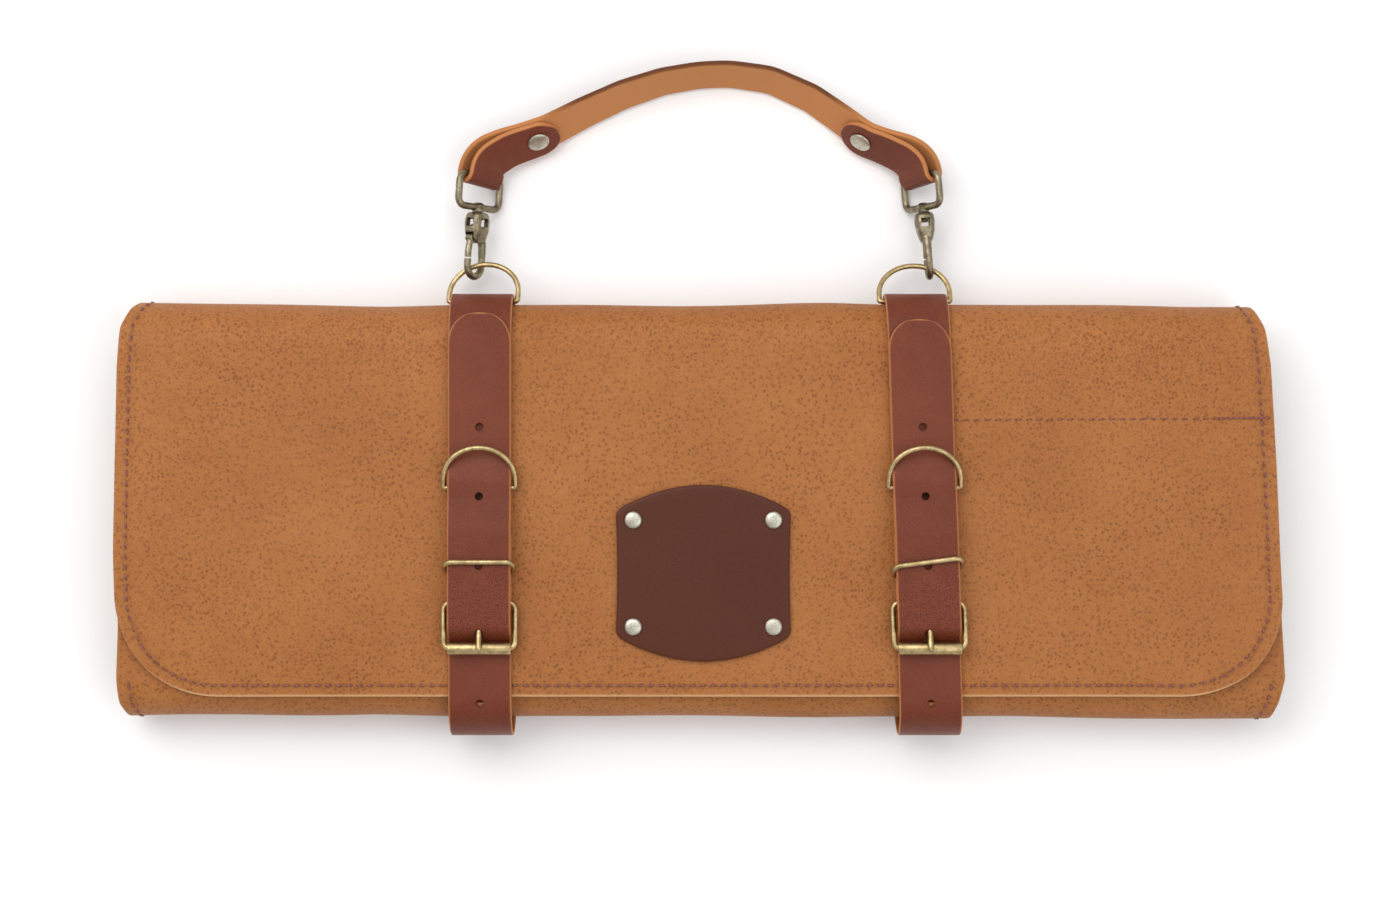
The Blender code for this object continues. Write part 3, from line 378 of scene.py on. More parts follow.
def ramp(tree, source, *stops):
    """A grey ramp between two stops of (place, brightness)."""
    made = add_node(tree, "ShaderNodeValToRGB", {"Fac": source})
    for mark, (place, grey) in zip(made.color_ramp.elements, stops):
        mark.position = place
        mark.color = (grey, grey, grey, 1.0)
    return made.outputs["Color"]


def mixed(tree, share, first, second):
    """Two colours mixed by a share; each may be a socket or a plain colour."""
    made = add_node(tree, "ShaderNodeMix", {"Factor": share}, data_type="RGBA")
    for key, value in (("A", first), ("B", second)):
        socket = [i for i in made.inputs if i.name == key and i.type == "RGBA"][0]
        if isinstance(value, tuple):
            socket.default_value = (*value, 1.0)
        else:
            tree.links.new(value, socket)
    return [o for o in made.outputs if o.type == "RGBA"][0]


def sums(tree, kind, a, b):
    """Arithmetic on two sockets or numbers, clamped to 0 and 1 where it adds."""
    clamped = kind == "ADD"
    return add_node(tree, "ShaderNodeMath", {0: a, 1: b}, operation=kind, use_clamp=clamped).outputs[0]


def noise(tree, vector, scale, detail, roughness=0.55):
    """Soft noise around one half."""
    inputs = {"Vector": vector, "Scale": scale, "Detail": detail, "Roughness": roughness}
    return add_node(tree, "ShaderNodeTexNoise", inputs).outputs["Fac"]


def cells(tree, vector, scale, feature="F1"):
    """Distances in a pattern of cells: to the nearest middle, or to the nearest border."""
    inputs = {"Vector": vector, "Scale": scale}
    return add_node(tree, "ShaderNodeTexVoronoi", inputs, feature=feature).outputs["Distance"]


def set_bump(tree, shader, height, distance, strength):
    """Gives a shader the bumps of a height."""
    inputs = {"Height": height, "Distance": distance, "Strength": strength}
    bumps = add_node(tree, "ShaderNodeBump", inputs)
    tree.links.new(bumps.outputs["Normal"], shader.inputs["Normal"])


def leather(name, light, dark, flesh, edge, pebble_scale, pebble_depth, pore_share, roughness):
    """Full-grain leather: soft clouds between two shades, pebbles with creases between them, dark
    pores, a fibrous flesh side and a raw edge. It reads the words skin, shade, back and rim."""
    made, tree, shader = shader_of(name)
    skin = read_word(tree, "skin", "Vector")
    # The shade word darkens the leather: it carries painted shade and a painted highlight as well as darker
    # patches of hide and wear.
    shade = read_word(tree, "shade", "Fac")
    clouds = sums(tree, "MULTIPLY", noise(tree, skin, 16.0, 4.0), 0.75)
    clouds = sums(tree, "ADD", clouds, sums(tree, "MULTIPLY", noise(tree, skin, 95.0, 3.0), 0.28))
    clouds = ramp(tree, clouds, (0.34, 0.0), (0.68, 1.0))
    depth = sums(tree, "ADD", sums(tree, "MULTIPLY", clouds, 0.55), shade)
    colour = mixed(tree, depth, light, dark)
    drift = add_node(tree, "ShaderNodeTexNoise", {"Vector": skin, "Scale": pebble_scale * 0.9})
    inputs = {0: drift.outputs["Color"], 1: (0.7 / pebble_scale,) * 3, 2: skin}
    wander = add_node(tree, "ShaderNodeVectorMath", inputs, operation="MULTIPLY_ADD")
    pebbles = cells(tree, wander.outputs["Vector"], pebble_scale, "DISTANCE_TO_EDGE")
    pebbles = ramp(tree, pebbles, (0.0, 0.0), (0.30, 1.0))
    creases = sums(tree, "MULTIPLY", sums(tree, "SUBTRACT", 1.0, pebbles), sums(tree, "ADD", shade, 0.30))
    pores = cells(tree, wander.outputs["Vector"], pebble_scale * 0.85)
    pores = ramp(tree, pores, (0.10, 1.0), (0.46, 0.0))
    scatter = ramp(tree, noise(tree, skin, 34.0, 3.0), (0.34, 0.55), (0.62, 1.0))
    pores = sums(tree, "MULTIPLY", sums(tree, "MULTIPLY", pores, scatter), pore_share)
    deep = tuple(c * 0.60 for c in dark)
    pale = tuple(min(1.0, c * 1.32) for c in light)
    colour = mixed(tree, sums(tree, "MULTIPLY", creases, 0.75), colour, pale)
    colour = mixed(tree, sums(tree, "MULTIPLY", pores, 0.80), colour, deep)
    fibres = noise(tree, skin, 900.0, 4.0, 0.7)
    flesh_low, flesh_high = (tuple(min(1.0, c * k) for c in flesh) for k in (0.86, 1.10))
    fibre_colour = mixed(tree, fibres, flesh_low, flesh_high)
    back = read_word(tree, "back", "Fac")
    colour = mixed(tree, back, colour, fibre_colour)
    rim = read_word(tree, "rim", "Fac")
    colour = mixed(tree, rim, colour, edge)
    # The groove word darkens and sinks the seam grooves and the handle's upper rim, and carries the painted
    # shade inside the handle's loops.
    groove_and_shade = read_word(tree, "groove_and_shade", "Fac")
    colour = mixed(tree, sums(tree, "MULTIPLY", groove_and_shade, 0.45), colour, deep)
    tree.links.new(colour, shader.inputs["Base Color"])
    relief = sums(tree, "MULTIPLY", pebbles, pebble_depth)
    relief = sums(tree, "SUBTRACT", relief, sums(tree, "MULTIPLY", pores, 0.5))
    relief = sums(tree, "SUBTRACT", relief, sums(tree, "MULTIPLY", groove_and_shade, 0.9))
    relief = sums(tree, "ADD", relief, sums(tree, "MULTIPLY", sums(tree, "MULTIPLY", fibres, back), 0.5))
    set_bump(tree, shader, relief, 0.00022, 0.75)
    shine = sums(tree, "ADD", sums(tree, "MULTIPLY", clouds, 0.10), sums(tree, "MULTIPLY", back, 0.3))
    tree.links.new(sums(tree, "ADD", shine, roughness), shader.inputs["Roughness"])
    shader.inputs["Specular IOR Level"].default_value = 0.24
    return made


tan_leather = leather(
    "tan_leather",
    (0.374, 0.141, 0.038),
    (0.242, 0.075, 0.0158),
    (0.520, 0.300, 0.150),
    (0.760, 0.480, 0.240),
    640.0,
    0.55,
    1.0,
    0.50,
)

# Grid lines close together at the cut edges, wider apart between them
EDGE_LINES = np.array((0.0, 0.00025, 0.0007, 0.0014, 0.0026, 0.0042, 0.0060, 0.0085))
BETWEEN = 150
SEAM_IN = 0.0052
HEM_IN = 0.0046
rows_s = np.concatenate(
    [
        EDGE_LINES,
        FLAP_CORNER * (1 - np.cos(np.linspace(math.radians(40), math.pi / 2, 16))),
        np.linspace(FLAP_CORNER, front_end, 36)[1:],
        np.linspace(front_end, front_end + fold_arc, 26)[1:],
        np.linspace(front_end + fold_arc, back_end, 34)[1:],
        np.linspace(back_end, outer_end, 26)[1:],
        np.linspace(outer_end, sheet_length, 74)[1:-1],
        sheet_length - EDGE_LINES[3::-1],
    ]
)
rows_s = np.unique(rows_s)
left_edge = edge_at(rows_s, -1) + corner_inset(rows_s)
right_edge = edge_at(rows_s, 1) - corner_inset(rows_s)
inner_left, inner_right = left_edge + EDGE_LINES[-1], right_edge - EDGE_LINES[-1]
middle_share = np.linspace(0, 1, BETWEEN)[1:-1]
across_x = np.concatenate(
    [
        left_edge[:, None] + EDGE_LINES,
        inner_left[:, None] + (inner_right - inner_left)[:, None] * middle_share,
        right_edge[:, None] - EDGE_LINES[::-1],
    ],
    axis=1,
)
grid_s = np.broadcast_to(rows_s[:, None], across_x.shape)


def sheet_edge(s, x):
    """Distance in from the nearest cut edge: a rounded rectangle's, with the flap's corners."""
    in_left = x - edge_at(s, -1)
    in_right = edge_at(s, 1) - x
    side_in = np.minimum(in_left, in_right)
    from_end = np.minimum(s, sheet_length - s)
    plain = np.minimum(side_in, from_end)
    gap_x, gap_s = FLAP_CORNER - side_in, FLAP_CORNER - s
    in_corner = (gap_x > 0) & (gap_s > 0)
    return np.where(in_corner, FLAP_CORNER - np.hypot(gap_x, gap_s), plain)


def thinned(inward):
    """The wall's share of its full thickness near a cut edge: a quarter circle over its first 0.7 mm."""
    k = np.clip(inward / 0.0007, 0.0, 1.0)
    return 0.42 + 0.58 * np.sqrt(1 - (1 - k) ** 2)


inward = np.clip(sheet_edge(grid_s, across_x), 0.0, None)
grain_side, _ = skin_point(grid_s, across_x, BODY_WALL / 2 * thinned(inward))
flesh_side, _ = skin_point(grid_s, across_x, -BODY_WALL / 2 * thinned(inward))
sheet_rings = np.concatenate([grain_side, flesh_side[:, ::-1]], axis=1)


def both(front, back_values):
    """Values for the grain side's points, then the flesh side's, in ring order."""
    return np.concatenate([front, back_values[:, ::-1]], axis=1)


flat_skin = np.stack([across_x, grid_s, np.zeros_like(across_x)], axis=-1)
sheet_skin = np.concatenate([flat_skin, flat_skin[:, ::-1] + (0.0, 0.0, 0.7)], axis=1)

# Soft darker areas: (x, s, half width in x, in s, depth), read off
# The wide second row, a band along the top fold, is painted shade where the leather turns over; the other
# rows are darker patches of the hide.
DARK_AREAS = (
    (-0.160, 0.150, 0.070, 0.020, 0.26),
    (0.030, 0.152, 0.200, 0.012, 0.20),
    (0.170, 0.140, 0.060, 0.022, 0.25),
    (-0.190, 0.036, 0.032, 0.020, 0.18),
    (0.000, 0.006, 0.230, 0.010, 0.12),
    (0.170, 0.050, 0.060, 0.030, 0.10),
    (0.200, 0.110, 0.030, 0.030, 0.14),
    (-0.220, 0.110, 0.020, 0.050, 0.12),
    (0.060, 0.070, 0.022, 0.060, 0.06),
)
fold_shade_and_dark_spots = np.full_like(across_x, 0.04)
for spot_x, spot_s, wide, tall, depth_share in DARK_AREAS:
    fold_shade_and_dark_spots = fold_shade_and_dark_spots + depth_share * bump_at(across_x, spot_x, wide) * bump_at(grid_s, spot_s, tall)
nothing = np.zeros_like(across_x)
raw = np.clip(1 - inward / 0.0008, 0.0, 1.0) ** 0.7 * (0.15 + 0.85 * np.clip(1 - grid_s / 0.012, 0, 1))
seam_distance = np.abs(sheet_edge(grid_s, across_x) - np.where(grid_s < FLAP_CORNER / 2, HEM_IN, SEAM_IN))
groove_values = np.clip(1 - seam_distance / 0.0013, 0, 1) * (grid_s < outer_end)
sheet_words = {
    "skin": sheet_skin.reshape(-1, 3),
    "shade": both(np.clip(fold_shade_and_dark_spots, 0, 0.7), nothing).ravel(),
    "back": both(nothing, nothing + 1.0).ravel(),
    "rim": both(raw, raw).ravel(),
    "groove_and_shade": both(groove_values, nothing).ravel(),
}
leather_sheet = build("leather_roll", [closed_band(sheet_rings)], tan_leather, sheet_words, 60.0)
fit_out(leather_sheet, "root", "tan_leather", "roll_sheet")


# The stitching of the leather
# A waxed plum-brown thread sewn through the leather beside its edge, all round the flap and down
# both sides, and along the seam that joins two pieces of hide to the right of the right belt.
THREAD_RADIUS = 0.00042
STITCH_PITCH = 0.0043
STITCH_SHARE = 0.80
SEAM_Y = -0.0105
thread_finish, thread_tree, thread_shader = shader_of("plum_thread")
thread_skin = read_word(thread_tree, "skin", "Vector")
twist = add_node(thread_tree, "ShaderNodeTexWave", wave_type="BANDS", bands_direction="DIAGONAL")
thread_tree.links.new(thread_skin, twist.inputs["Vector"])
twist.inputs["Scale"].default_value = 300.0
thread_colour = mixed(thread_tree, twist.outputs["Fac"], (0.150, 0.042, 0.031), (0.290, 0.098, 0.070))
thread_tree.links.new(thread_colour, thread_shader.inputs["Base Color"])
thread_shader.inputs["Roughness"].default_value = 0.6


def resampled(line, pitch):
    """Points at an even pitch along a line, and the line's direction at each."""
    at = along_line(line)
    marks = np.arange(pitch / 2, at[-1], pitch)
    ahead, behind = points_at(marks + pitch / 4, at, line), points_at(marks - pitch / 4, at, line)
    return points_at(marks, at, line), unit(ahead - behind)


def stitch_row(line_xs, pitch, length, radius, slant=0.0):
    """Stitches along a line of (x, s) on the leather. Each is a short round bar whose ends dive
    into their holes: its height falls with the fourth power of the distance from its middle."""
    spots, heading = resampled(np.asarray(line_xs, float), pitch)
    step = length * 0.5
    behind, ahead = spots - heading * step, spots + heading * step
    start, facing = skin_point(behind[:, 1], behind[:, 0], BODY_WALL / 2)
    end, _ = skin_point(ahead[:, 1], ahead[:, 0], BODY_WALL / 2)
    centre, _ = skin_point(spots[:, 1], spots[:, 0], BODY_WALL / 2)
    along = unit(end - start)
    side = unit(np.cross(facing, along))
    along = unit(along + side * slant)
    side = unit(np.cross(facing, along))
    u = np.linspace(-1, 1, 9)
    turn = full_turn(8)
    swelling = radius * (1 - 0.45 * u**4)
    lift = radius * (0.55 - 1.9 * u**4)
    ring_side = swelling[:, None] * np.cos(turn)
    ring_up = swelling[:, None] * np.sin(turn) + lift[:, None]
    ring_along = np.broadcast_to((u * step)[:, None], ring_side.shape)
    points = (
        centre[:, None, None]
        + along[:, None, None] * ring_along[None, ..., None]
        + side[:, None, None] * ring_side[None, ..., None]
        + facing[:, None, None] * ring_up[None, ..., None]
    )
    return [closed_tube(one) for one in points]


def seam_line(side, inset):
    """One side seam in (x, s): up the edge of the outer turn from the low fold to the flap's corner,
    then round a quarter circle about the corner's centre."""
    s_down = np.linspace(outer_end - 0.004, FLAP_CORNER, 300)
    down = np.stack([edge_at(s_down, side) - side * inset, s_down], axis=1)
    turn = np.linspace(0, math.pi / 2, 40)[1:]
    centre_x = edge_at(FLAP_CORNER, side) - side * FLAP_CORNER
    radius_x = FLAP_CORNER - inset
    radius_s = FLAP_CORNER - HEM_IN
    corner_x = centre_x + side * radius_x * np.cos(turn)
    corner = np.stack([corner_x, FLAP_CORNER - radius_s * np.sin(turn)], axis=1)
    return np.concatenate([down, corner])


hem_line = np.concatenate([seam_line(-1, SEAM_IN), seam_line(1, SEAM_IN)[::-1]])
stitches = stitch_row(hem_line, STITCH_PITCH, STITCH_PITCH * STITCH_SHARE, THREAD_RADIUS, 0.10)
seam_s = SEAM_Y - (roll_bottom + FLAP_SHORT_OF_FOLD)
seam_right = edge_at(seam_s, 1) - 0.0014
seam_left = BELT_X["right"] + BELT_LEAN["right"] * (SEAM_Y - roll_middle_y) + 0.0120
dense_from = seam_right - 0.0240
across_seam = np.array([(seam_left, seam_s), (dense_from, seam_s + 0.0006)])
stitches += stitch_row(across_seam, STITCH_PITCH, STITCH_PITCH * 0.72, THREAD_RADIUS * 0.8, 0.14)
back_tack = np.array([(dense_from, seam_s + 0.0006), (seam_right, seam_s + 0.0010)])
stitches += stitch_row(back_tack, STITCH_PITCH * 0.62, STITCH_PITCH * 0.70, THREAD_RADIUS * 1.05, -0.10)
thread_points = np.concatenate([points for points, _ in stitches])
thread = build("seam_thread", stitches, thread_finish, {"skin": thread_points}, 60.0)
fit_out(thread, "root", "tan_leather")


# The leather patch
# A square of dark brown leather with bowed top and bottom edges, 1.8 mm thick, riveted to the flap.
# Its face is plain, with the shine and soft marks of use, and painted shade that darkens it towards its right
# side.
PATCH_WIDTH = 0.0723
PATCH_SIDE_HEIGHT = 0.0520
PATCH_BULGE = 0.0105
PATCH_HOLLOW = 0.0006
patch_low, patch_high = (np.array(c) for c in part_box("patch"))
patch_middle = (patch_low + patch_high) / 2
dark_leather = leather(
    "dark_brown_leather",
    (0.083, 0.0187, 0.0064),
    (0.052, 0.0108, 0.0036),
    (0.420, 0.240, 0.120),
    (0.090, 0.028, 0.016),
    1500.0,
    0.16,
    0.15,
    0.36,
)


def softened(line):
    """Each point of a closed line averaged with its two neighbours."""
    return (np.roll(line, 1, 0) + 2 * line + np.roll(line, -1, 0)) / 4


def patch_outline(steps):
    """The patch's edge: parabolas at the top and bottom, slightly hollow sides, corners eased."""
    k = np.linspace(-1, 1, steps)
    half_wide, half_tall = PATCH_WIDTH / 2, PATCH_SIDE_HEIGHT / 2
    top = np.stack([half_wide * k, half_tall + PATCH_BULGE * (1 - k**2)], axis=1)
    flank = np.stack([half_wide - PATCH_HOLLOW * (1 - k**2), -half_tall * k], axis=1)[1:-1]
    line = np.concatenate([top, flank, -top, -flank])
    for _ in range(3):
        line = softened(line)
    return line


patch_edge = patch_outline(40)
edge_normal = unit(np.roll(patch_edge, -1, 0) - np.roll(patch_edge, 1, 0))[:, ::-1] * (-1, 1)
# The rounded rim: each row is (distance in from the edge, share of the wall below the face)
PATCH_RINGS = (
    (0.004, 0.0),
    (0.0020, 0.0),
    (0.0010, 0.02),
    (0.0004, 0.10),
    (0.0001, 0.25),
    (0.0, 0.45),
    (0.0, 1.0),
)
patch_wall = patch_high[2] - patch_low[2]
inner_shares = np.linspace(0.02, 0.88, 22)
top_rings = [np.column_stack([patch_edge * k, np.full(len(patch_edge), patch_high[2])]) for k in inner_shares]
rim_rings = []
for inset, drop in PATCH_RINGS:
    rim_z = np.full(len(patch_edge), patch_high[2] - drop * patch_wall)
    rim_rings.append(np.column_stack([patch_edge - edge_normal * inset, rim_z]))
patch_rings = np.array(top_rings + rim_rings)
lowest = patch_rings[-1:] * (0.02, 0.02, 1.0)
patch_rings = np.concatenate([patch_rings, lowest])
patch_rings[..., :2] += patch_middle[:2]
patch_dish = 0.00016 * np.sin(patch_rings[..., 0] * 90) * np.cos(patch_rings[..., 1] * 120 + 1)
patch_rings[..., 2] += np.where(patch_rings[..., 2] > patch_high[2] - 0.0004, patch_dish, 0.0)
patch_points, patch_faces = closed_tube(patch_rings)
ring_count = len(patch_rings)
patch_rim = np.zeros((ring_count, len(patch_edge)))
patch_rim[-4:] = 1.0
zeros = np.zeros(len(patch_points))
# Painted shade: the patch grows darker towards its right side, away from the key light.
patch_shade = np.clip(0.25 + (patch_points[:, 0] - patch_middle[0]) * 4.0, 0.0, 0.6)
patch_words = {
    "skin": patch_points,
    "shade": patch_shade,
    "back": zeros,
    "rim": np.concatenate([patch_rim.ravel(), (0.0, 1.0)]),
    "groove_and_shade": zeros,
}
leather_patch = build("leather_patch", [(patch_points, patch_faces)], dark_leather, patch_words, 50.0)
fit_out(leather_patch, "root", "dark_brown_leather", "patch")


# The rivets
# Nickel-plated caps, closed over their posts with a setting tool: four on the patch and one
# on each end of the handle. Each has a low dome, a soft shoulder and a turned-in rim.
def metal(name, light, dark, roughness, cloud_scale, scuff_scale):
    """Plated metal: two shades in soft clouds, fine scuffs in its gloss, darker where it is worn dull."""
    made, tree, shader = shader_of(name)
    place = add_node(tree, "ShaderNodeTexCoord").outputs["Object"]
    clouds = ramp(tree, noise(tree, place, cloud_scale, 5.0, 0.6), (0.36, 0.0), (0.66, 1.0))
    specks = ramp(tree, noise(tree, place, scuff_scale, 3.0, 0.7), (0.50, 0.0), (0.72, 1.0))
    colour = mixed(tree, clouds, light, dark)
    colour = mixed(tree, sums(tree, "MULTIPLY", specks, 0.35), colour, tuple(c * 0.45 for c in dark))
    tree.links.new(colour, shader.inputs["Base Color"])
    gloss = sums(tree, "ADD", sums(tree, "MULTIPLY", clouds, 0.12), roughness)
    tree.links.new(sums(tree, "ADD", gloss, sums(tree, "MULTIPLY", specks, 0.15)), shader.inputs["Roughness"])
    set_bump(tree, shader, specks, 0.00006, 0.5)
    shader.inputs["Metallic"].default_value = 1.0
    return made


nickel = metal("nickel", (0.60, 0.575, 0.49), (0.40, 0.37, 0.29), 0.26, 420.0, 2600.0)


def turned_rings(profile, seat, axis, across, sides):
    """Rings of a turned body: each (along, radius) pair of the profile becomes a circle about the axis."""
    axis, across = unit(axis), unit(across)
    other = np.cross(axis, across)
    turn = full_turn(sides)
    ring = np.cos(turn)[:, None] * across + np.sin(turn)[:, None] * other
    profile = np.asarray(profile, float)
    return np.asarray(seat) + axis * profile[:, :1, None] + ring * profile[:, 1:, None]


def cap_profile(radius, height):
    """A rivet cap: up its rolled rim by a quarter circle, then over a low dome by a cosine."""
    turn = np.linspace(-0.5, 1.0, 8) * math.pi / 2
    roll_up = height * 0.42
    rim = np.stack([roll_up * (1 + np.sin(turn)) * 0.62, radius - roll_up * 0.5 * (1 - np.cos(turn))], axis=1)
    k = np.linspace(0.0, 1.0, 12)[1:]
    top = rim[-1]
    rise = top[0] + (height - top[0]) * np.sin(k * math.pi / 2)
    dome = np.stack([rise, top[1] * np.cos(k * math.pi / 2 * 0.985)], axis=1)
    return np.concatenate([rim, dome])


def measured_cap(node, axis_guess):
    """A CAD cap's seat, axis, radius and height, from its points: the axis is its thinnest direction."""
    points = np.array([v.co for v in frame["nodes"][node].data.vertices])
    middle = points.mean(axis=0)
    _, _, ways = np.linalg.svd(points - middle)
    axis = ways[2] * (1 if ways[2] @ np.array(axis_guess) > 0 else -1)
    high = (points - middle) @ axis
    across = points - middle - high[:, None] * axis
    return middle + axis * high.min(), axis, np.linalg.norm(across, axis=1).max(), high.max() - high.min()


def set_rivet(node, axis_guess):
    """A cap in place of a CAD cap, where that one lies."""
    seat, axis, radius, height = measured_cap(node, axis_guess)
    across = unit(np.cross(axis, (0.3, 0.9, 0.2)))
    rings = turned_rings(cap_profile(radius, height), seat, axis, across, 48)
    piece = build(node.replace("rivet", "cap"), [closed_tube(rings)], nickel, None, 60.0)
    fit_out(piece, "root", "nickel", node)


for corner in ("upper_left", "upper_right", "lower_left", "lower_right"):
    set_rivet(f"patch_rivet_{corner}", (0, 0, 1))


# The belts
# Two straps of dark red-brown leather, 26 mm wide, with pale raw edges. Each is folded round its
# buckle's heel bar, runs once round the roll and lies back over itself, with five punched holes.
GAP = 0.0003
BELT_WIDTH = 0.0260
BELT_WALL = 0.0018
BELT_SLACK = 0.0055
BUCKLE_FOLD = 0.0280
FOLD_RUN_OUT = 0.0080
DIVE_ABOVE_ROLLER = 0.0084
TIP_LENGTH = 0.0135
BELT_TIP_Y = {"left": 0.0338, "right": 0.0310}
BUCKLE_WIRE = 0.0024
ROLLER_RADIUS = 0.0027
D_WIRE = 0.0022
HOLE_PITCH = 0.0285
FIRST_HOLE_Y = -0.0134
HOLE_RADIUS = 0.0017
# Where the slot for the prong begins and ends above the roller, and the fold's slot
PRONG_SLOT = (0.0022, 0.0080)
FOLD_SLOT_RADIUS = 0.0020
PRONG_RADIUS = 0.0011
EDGE_SHARES = np.array((0.0, 0.012, 0.030, 0.060, 0.11, 0.18))
red_leather = leather(
    "red_brown_leather",
    (0.180, 0.0405, 0.0169),
    (0.080, 0.0125, 0.0042),
    (0.540, 0.225, 0.078),
    (0.500, 0.195, 0.062),
    1300.0,
    0.22,
    0.30,
    0.40,
)


def middle_of(node):
    """The middle of a CAD node's box."""
    low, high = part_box(node)
    return (np.array(low) + np.array(high)) / 2


def eased(line, step, times, loops=False):
    """A line resampled at an even step, then averaged with its neighbours, which rounds its corners."""
    line = np.asarray(line, float)
    if loops:
        line = np.concatenate([line, line[:1]])
    at = along_line(line)
    marks = np.linspace(0, at[-1], max(int(at[-1] / step), 8) + 1)
    points = points_at(marks, at, line)
    if loops:
        points = points[:-1]
    for _ in range(times):
        mean = softened(points)
        if loops:
            points = mean
        else:
            points[1:-1] = mean[1:-1]
    return points


def strap(path, wide, normal, half, wall, columns=30):
    """A flat strap along a path: across each place a row of points on the grain side, out along the
    normal, and one on the flesh side. The wall thins by a quarter circle towards its cut edges."""
    shares = np.concatenate([EDGE_SHARES - 1, np.linspace(-0.75, 0.75, columns), 1 - EDGE_SHARES[::-1]])
    at = along_line(path)
    x = half[:, None] * shares
    from_end = np.minimum(at, at[-1] - at)[:, None]
    inward = np.minimum(half[:, None] - np.abs(x), from_end)
    lift = wall / 2 * thinned(inward)
    flat = path[:, None, :] + wide[:, None, :] * x[..., None]
    grain = flat + normal[:, None, :] * lift[..., None]
    flesh_face = flat - normal[:, None, :] * lift[..., None]
    rings = np.concatenate([grain, flesh_face[:, ::-1]], axis=1)
    place = np.stack([x, np.broadcast_to(at[:, None], x.shape), np.zeros_like(x)], axis=-1)
    raw_edge = np.clip(1 - inward / 0.0006, 0, 1) ** 0.6
    none = np.zeros_like(x)
    words = {
        "skin": np.concatenate([place, place[:, ::-1] + (0.0, 0.0, 0.4)], axis=1).reshape(-1, 3),
        "back": both(none, none + 1.0).ravel(),
        "rim": both(raw_edge, raw_edge).ravel(),
    }
    return rings, words, x, np.broadcast_to(at[:, None], x.shape)


def carved(piece, tool, operation, sharp_deg=38.0):
    """Joins the tool's body to the piece, or cuts it out of it, and removes the tool."""
    change = piece.modifiers.new("carve", "BOOLEAN")
    change.operation = operation
    change.solver = "EXACT"
    change.object = tool
    graph = bpy.context.evaluated_depsgraph_get()
    seen = piece.evaluated_get(graph)
    mesh = bpy.data.meshes.new_from_object(seen, preserve_all_data_layers=True, depsgraph=graph)
    piece.modifiers.clear()
    piece.data = mesh
    mesh.polygons.foreach_set("use_smooth", np.ones(len(mesh.polygons), bool))
    mesh.set_sharp_from_angle(angle=math.radians(sharp_deg))
    bpy.data.objects.remove(tool, do_unlink=True)


heel_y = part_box("left_buckle_frame")[1][1] - BUCKLE_WIRE / 2
roller_y = middle_of("left_buckle_roller")[1]
mid_d_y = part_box("left_mid_d_ring")[0][1] + D_WIRE / 2
back_z = roll_low[2]
flap_z = roll_high[2]
on_flap_z = flap_z + GAP + BELT_WALL / 2
over_bars_z = on_flap_z + BELT_WALL + 2 * GAP + BUCKLE_WIRE
bars_z = (on_flap_z + over_bars_z) / 2
over_fold_z = over_bars_z + BELT_WALL + GAP
on_belt_z = on_flap_z + BELT_WALL + GAP
over_d_z = on_belt_z + D_WIRE + GAP


def lean_at(side, y):
    """The belt's middle in x at a y, as it leans."""
    return BELT_X[side] + BELT_LEAN[side] * (y - roll_middle_y)


def belt_line(tip_y):
    """The belt's middle line in (y, z), its half width, and where its outer run starts: the fold round
    the heel bar, the front, half ellipses round the roll, and the outer run with soft steps over
    what it crosses."""
    fold = (over_bars_z - on_flap_z) / 2
    loop = half_turn(heel_y, bars_z, fold, fold, 25, -1)[::-1]
    over_end = heel_y + BUCKLE_FOLD + 2 * GAP
    run_end = over_end + FOLD_RUN_OUT
    clear = GAP + BELT_WALL / 2
    fold_top = roll_top - FOLD_DEPTH
    middle, rise = (flap_z + back_z) / 2, (flap_z - back_z) / 2 + clear
    under = [(heel_y, over_bars_z), (over_end, over_bars_z), (run_end, on_flap_z), (fold_top, on_flap_z)]
    top = half_turn(fold_top, middle, FOLD_DEPTH + D_WIRE + GAP + clear, rise, 60, 1)
    past_flap = roll_bottom + FLAP_SHORT_OF_FOLD - GAP
    low = half_turn(past_flap, middle, past_flap - (roll_bottom - BELT_SLACK) + clear, rise, 60, -1)[::-1]
    back_run = level_run(fold_top, past_flap, middle - rise, 40)
    over = [
        (past_flap, on_flap_z),
        (roller_y + ROLLER_RADIUS, on_flap_z),
        (roller_y + DIVE_ABOVE_ROLLER, over_fold_z),
        (over_end + 3 * GAP, over_fold_z),
        (mid_d_y - D_WIRE * 1.7, over_d_z + 0.0002),
        (mid_d_y + D_WIRE * 1.5, over_d_z + 0.0001),
        (mid_d_y + D_WIRE * 6.0, on_belt_z),
        (tip_y, on_belt_z),
    ]
    over = eased(over, 0.0004, 22)
    start = [(heel_y + BUCKLE_FOLD, on_flap_z)]
    inner = np.concatenate([eased([start[0], loop[0]], 0.001, 1), loop[1:], eased(under, 0.0005, 10)[1:-1]])
    line = np.concatenate([inner, top, back_run, low, over[1:]])
    from_tip = np.clip(1 - (tip_y - over[:, 0]) / TIP_LENGTH, 0, 0.9995)
    half = np.full(len(line), BELT_WIDTH / 2)
    half[-len(from_tip) :] *= np.sqrt(1 - from_tip**2) ** 0.8
    return line, half, len(line) - len(over)


def slot_cutter(x, y_from, y_to, low, high, radius):
    """A round-ended upright cutter."""
    turn = np.linspace(0, math.pi, 13)
    upper = np.stack([x + radius * np.cos(turn), y_to - radius + radius * np.sin(turn)], axis=1)
    lower = np.stack([x - radius * np.cos(turn), y_from + radius - radius * np.sin(turn)], axis=1)
    ring = np.concatenate([upper, lower])
    rings = np.array([np.column_stack([ring, np.full(len(ring), z)]) for z in (low, high)])
    return closed_tube(rings)


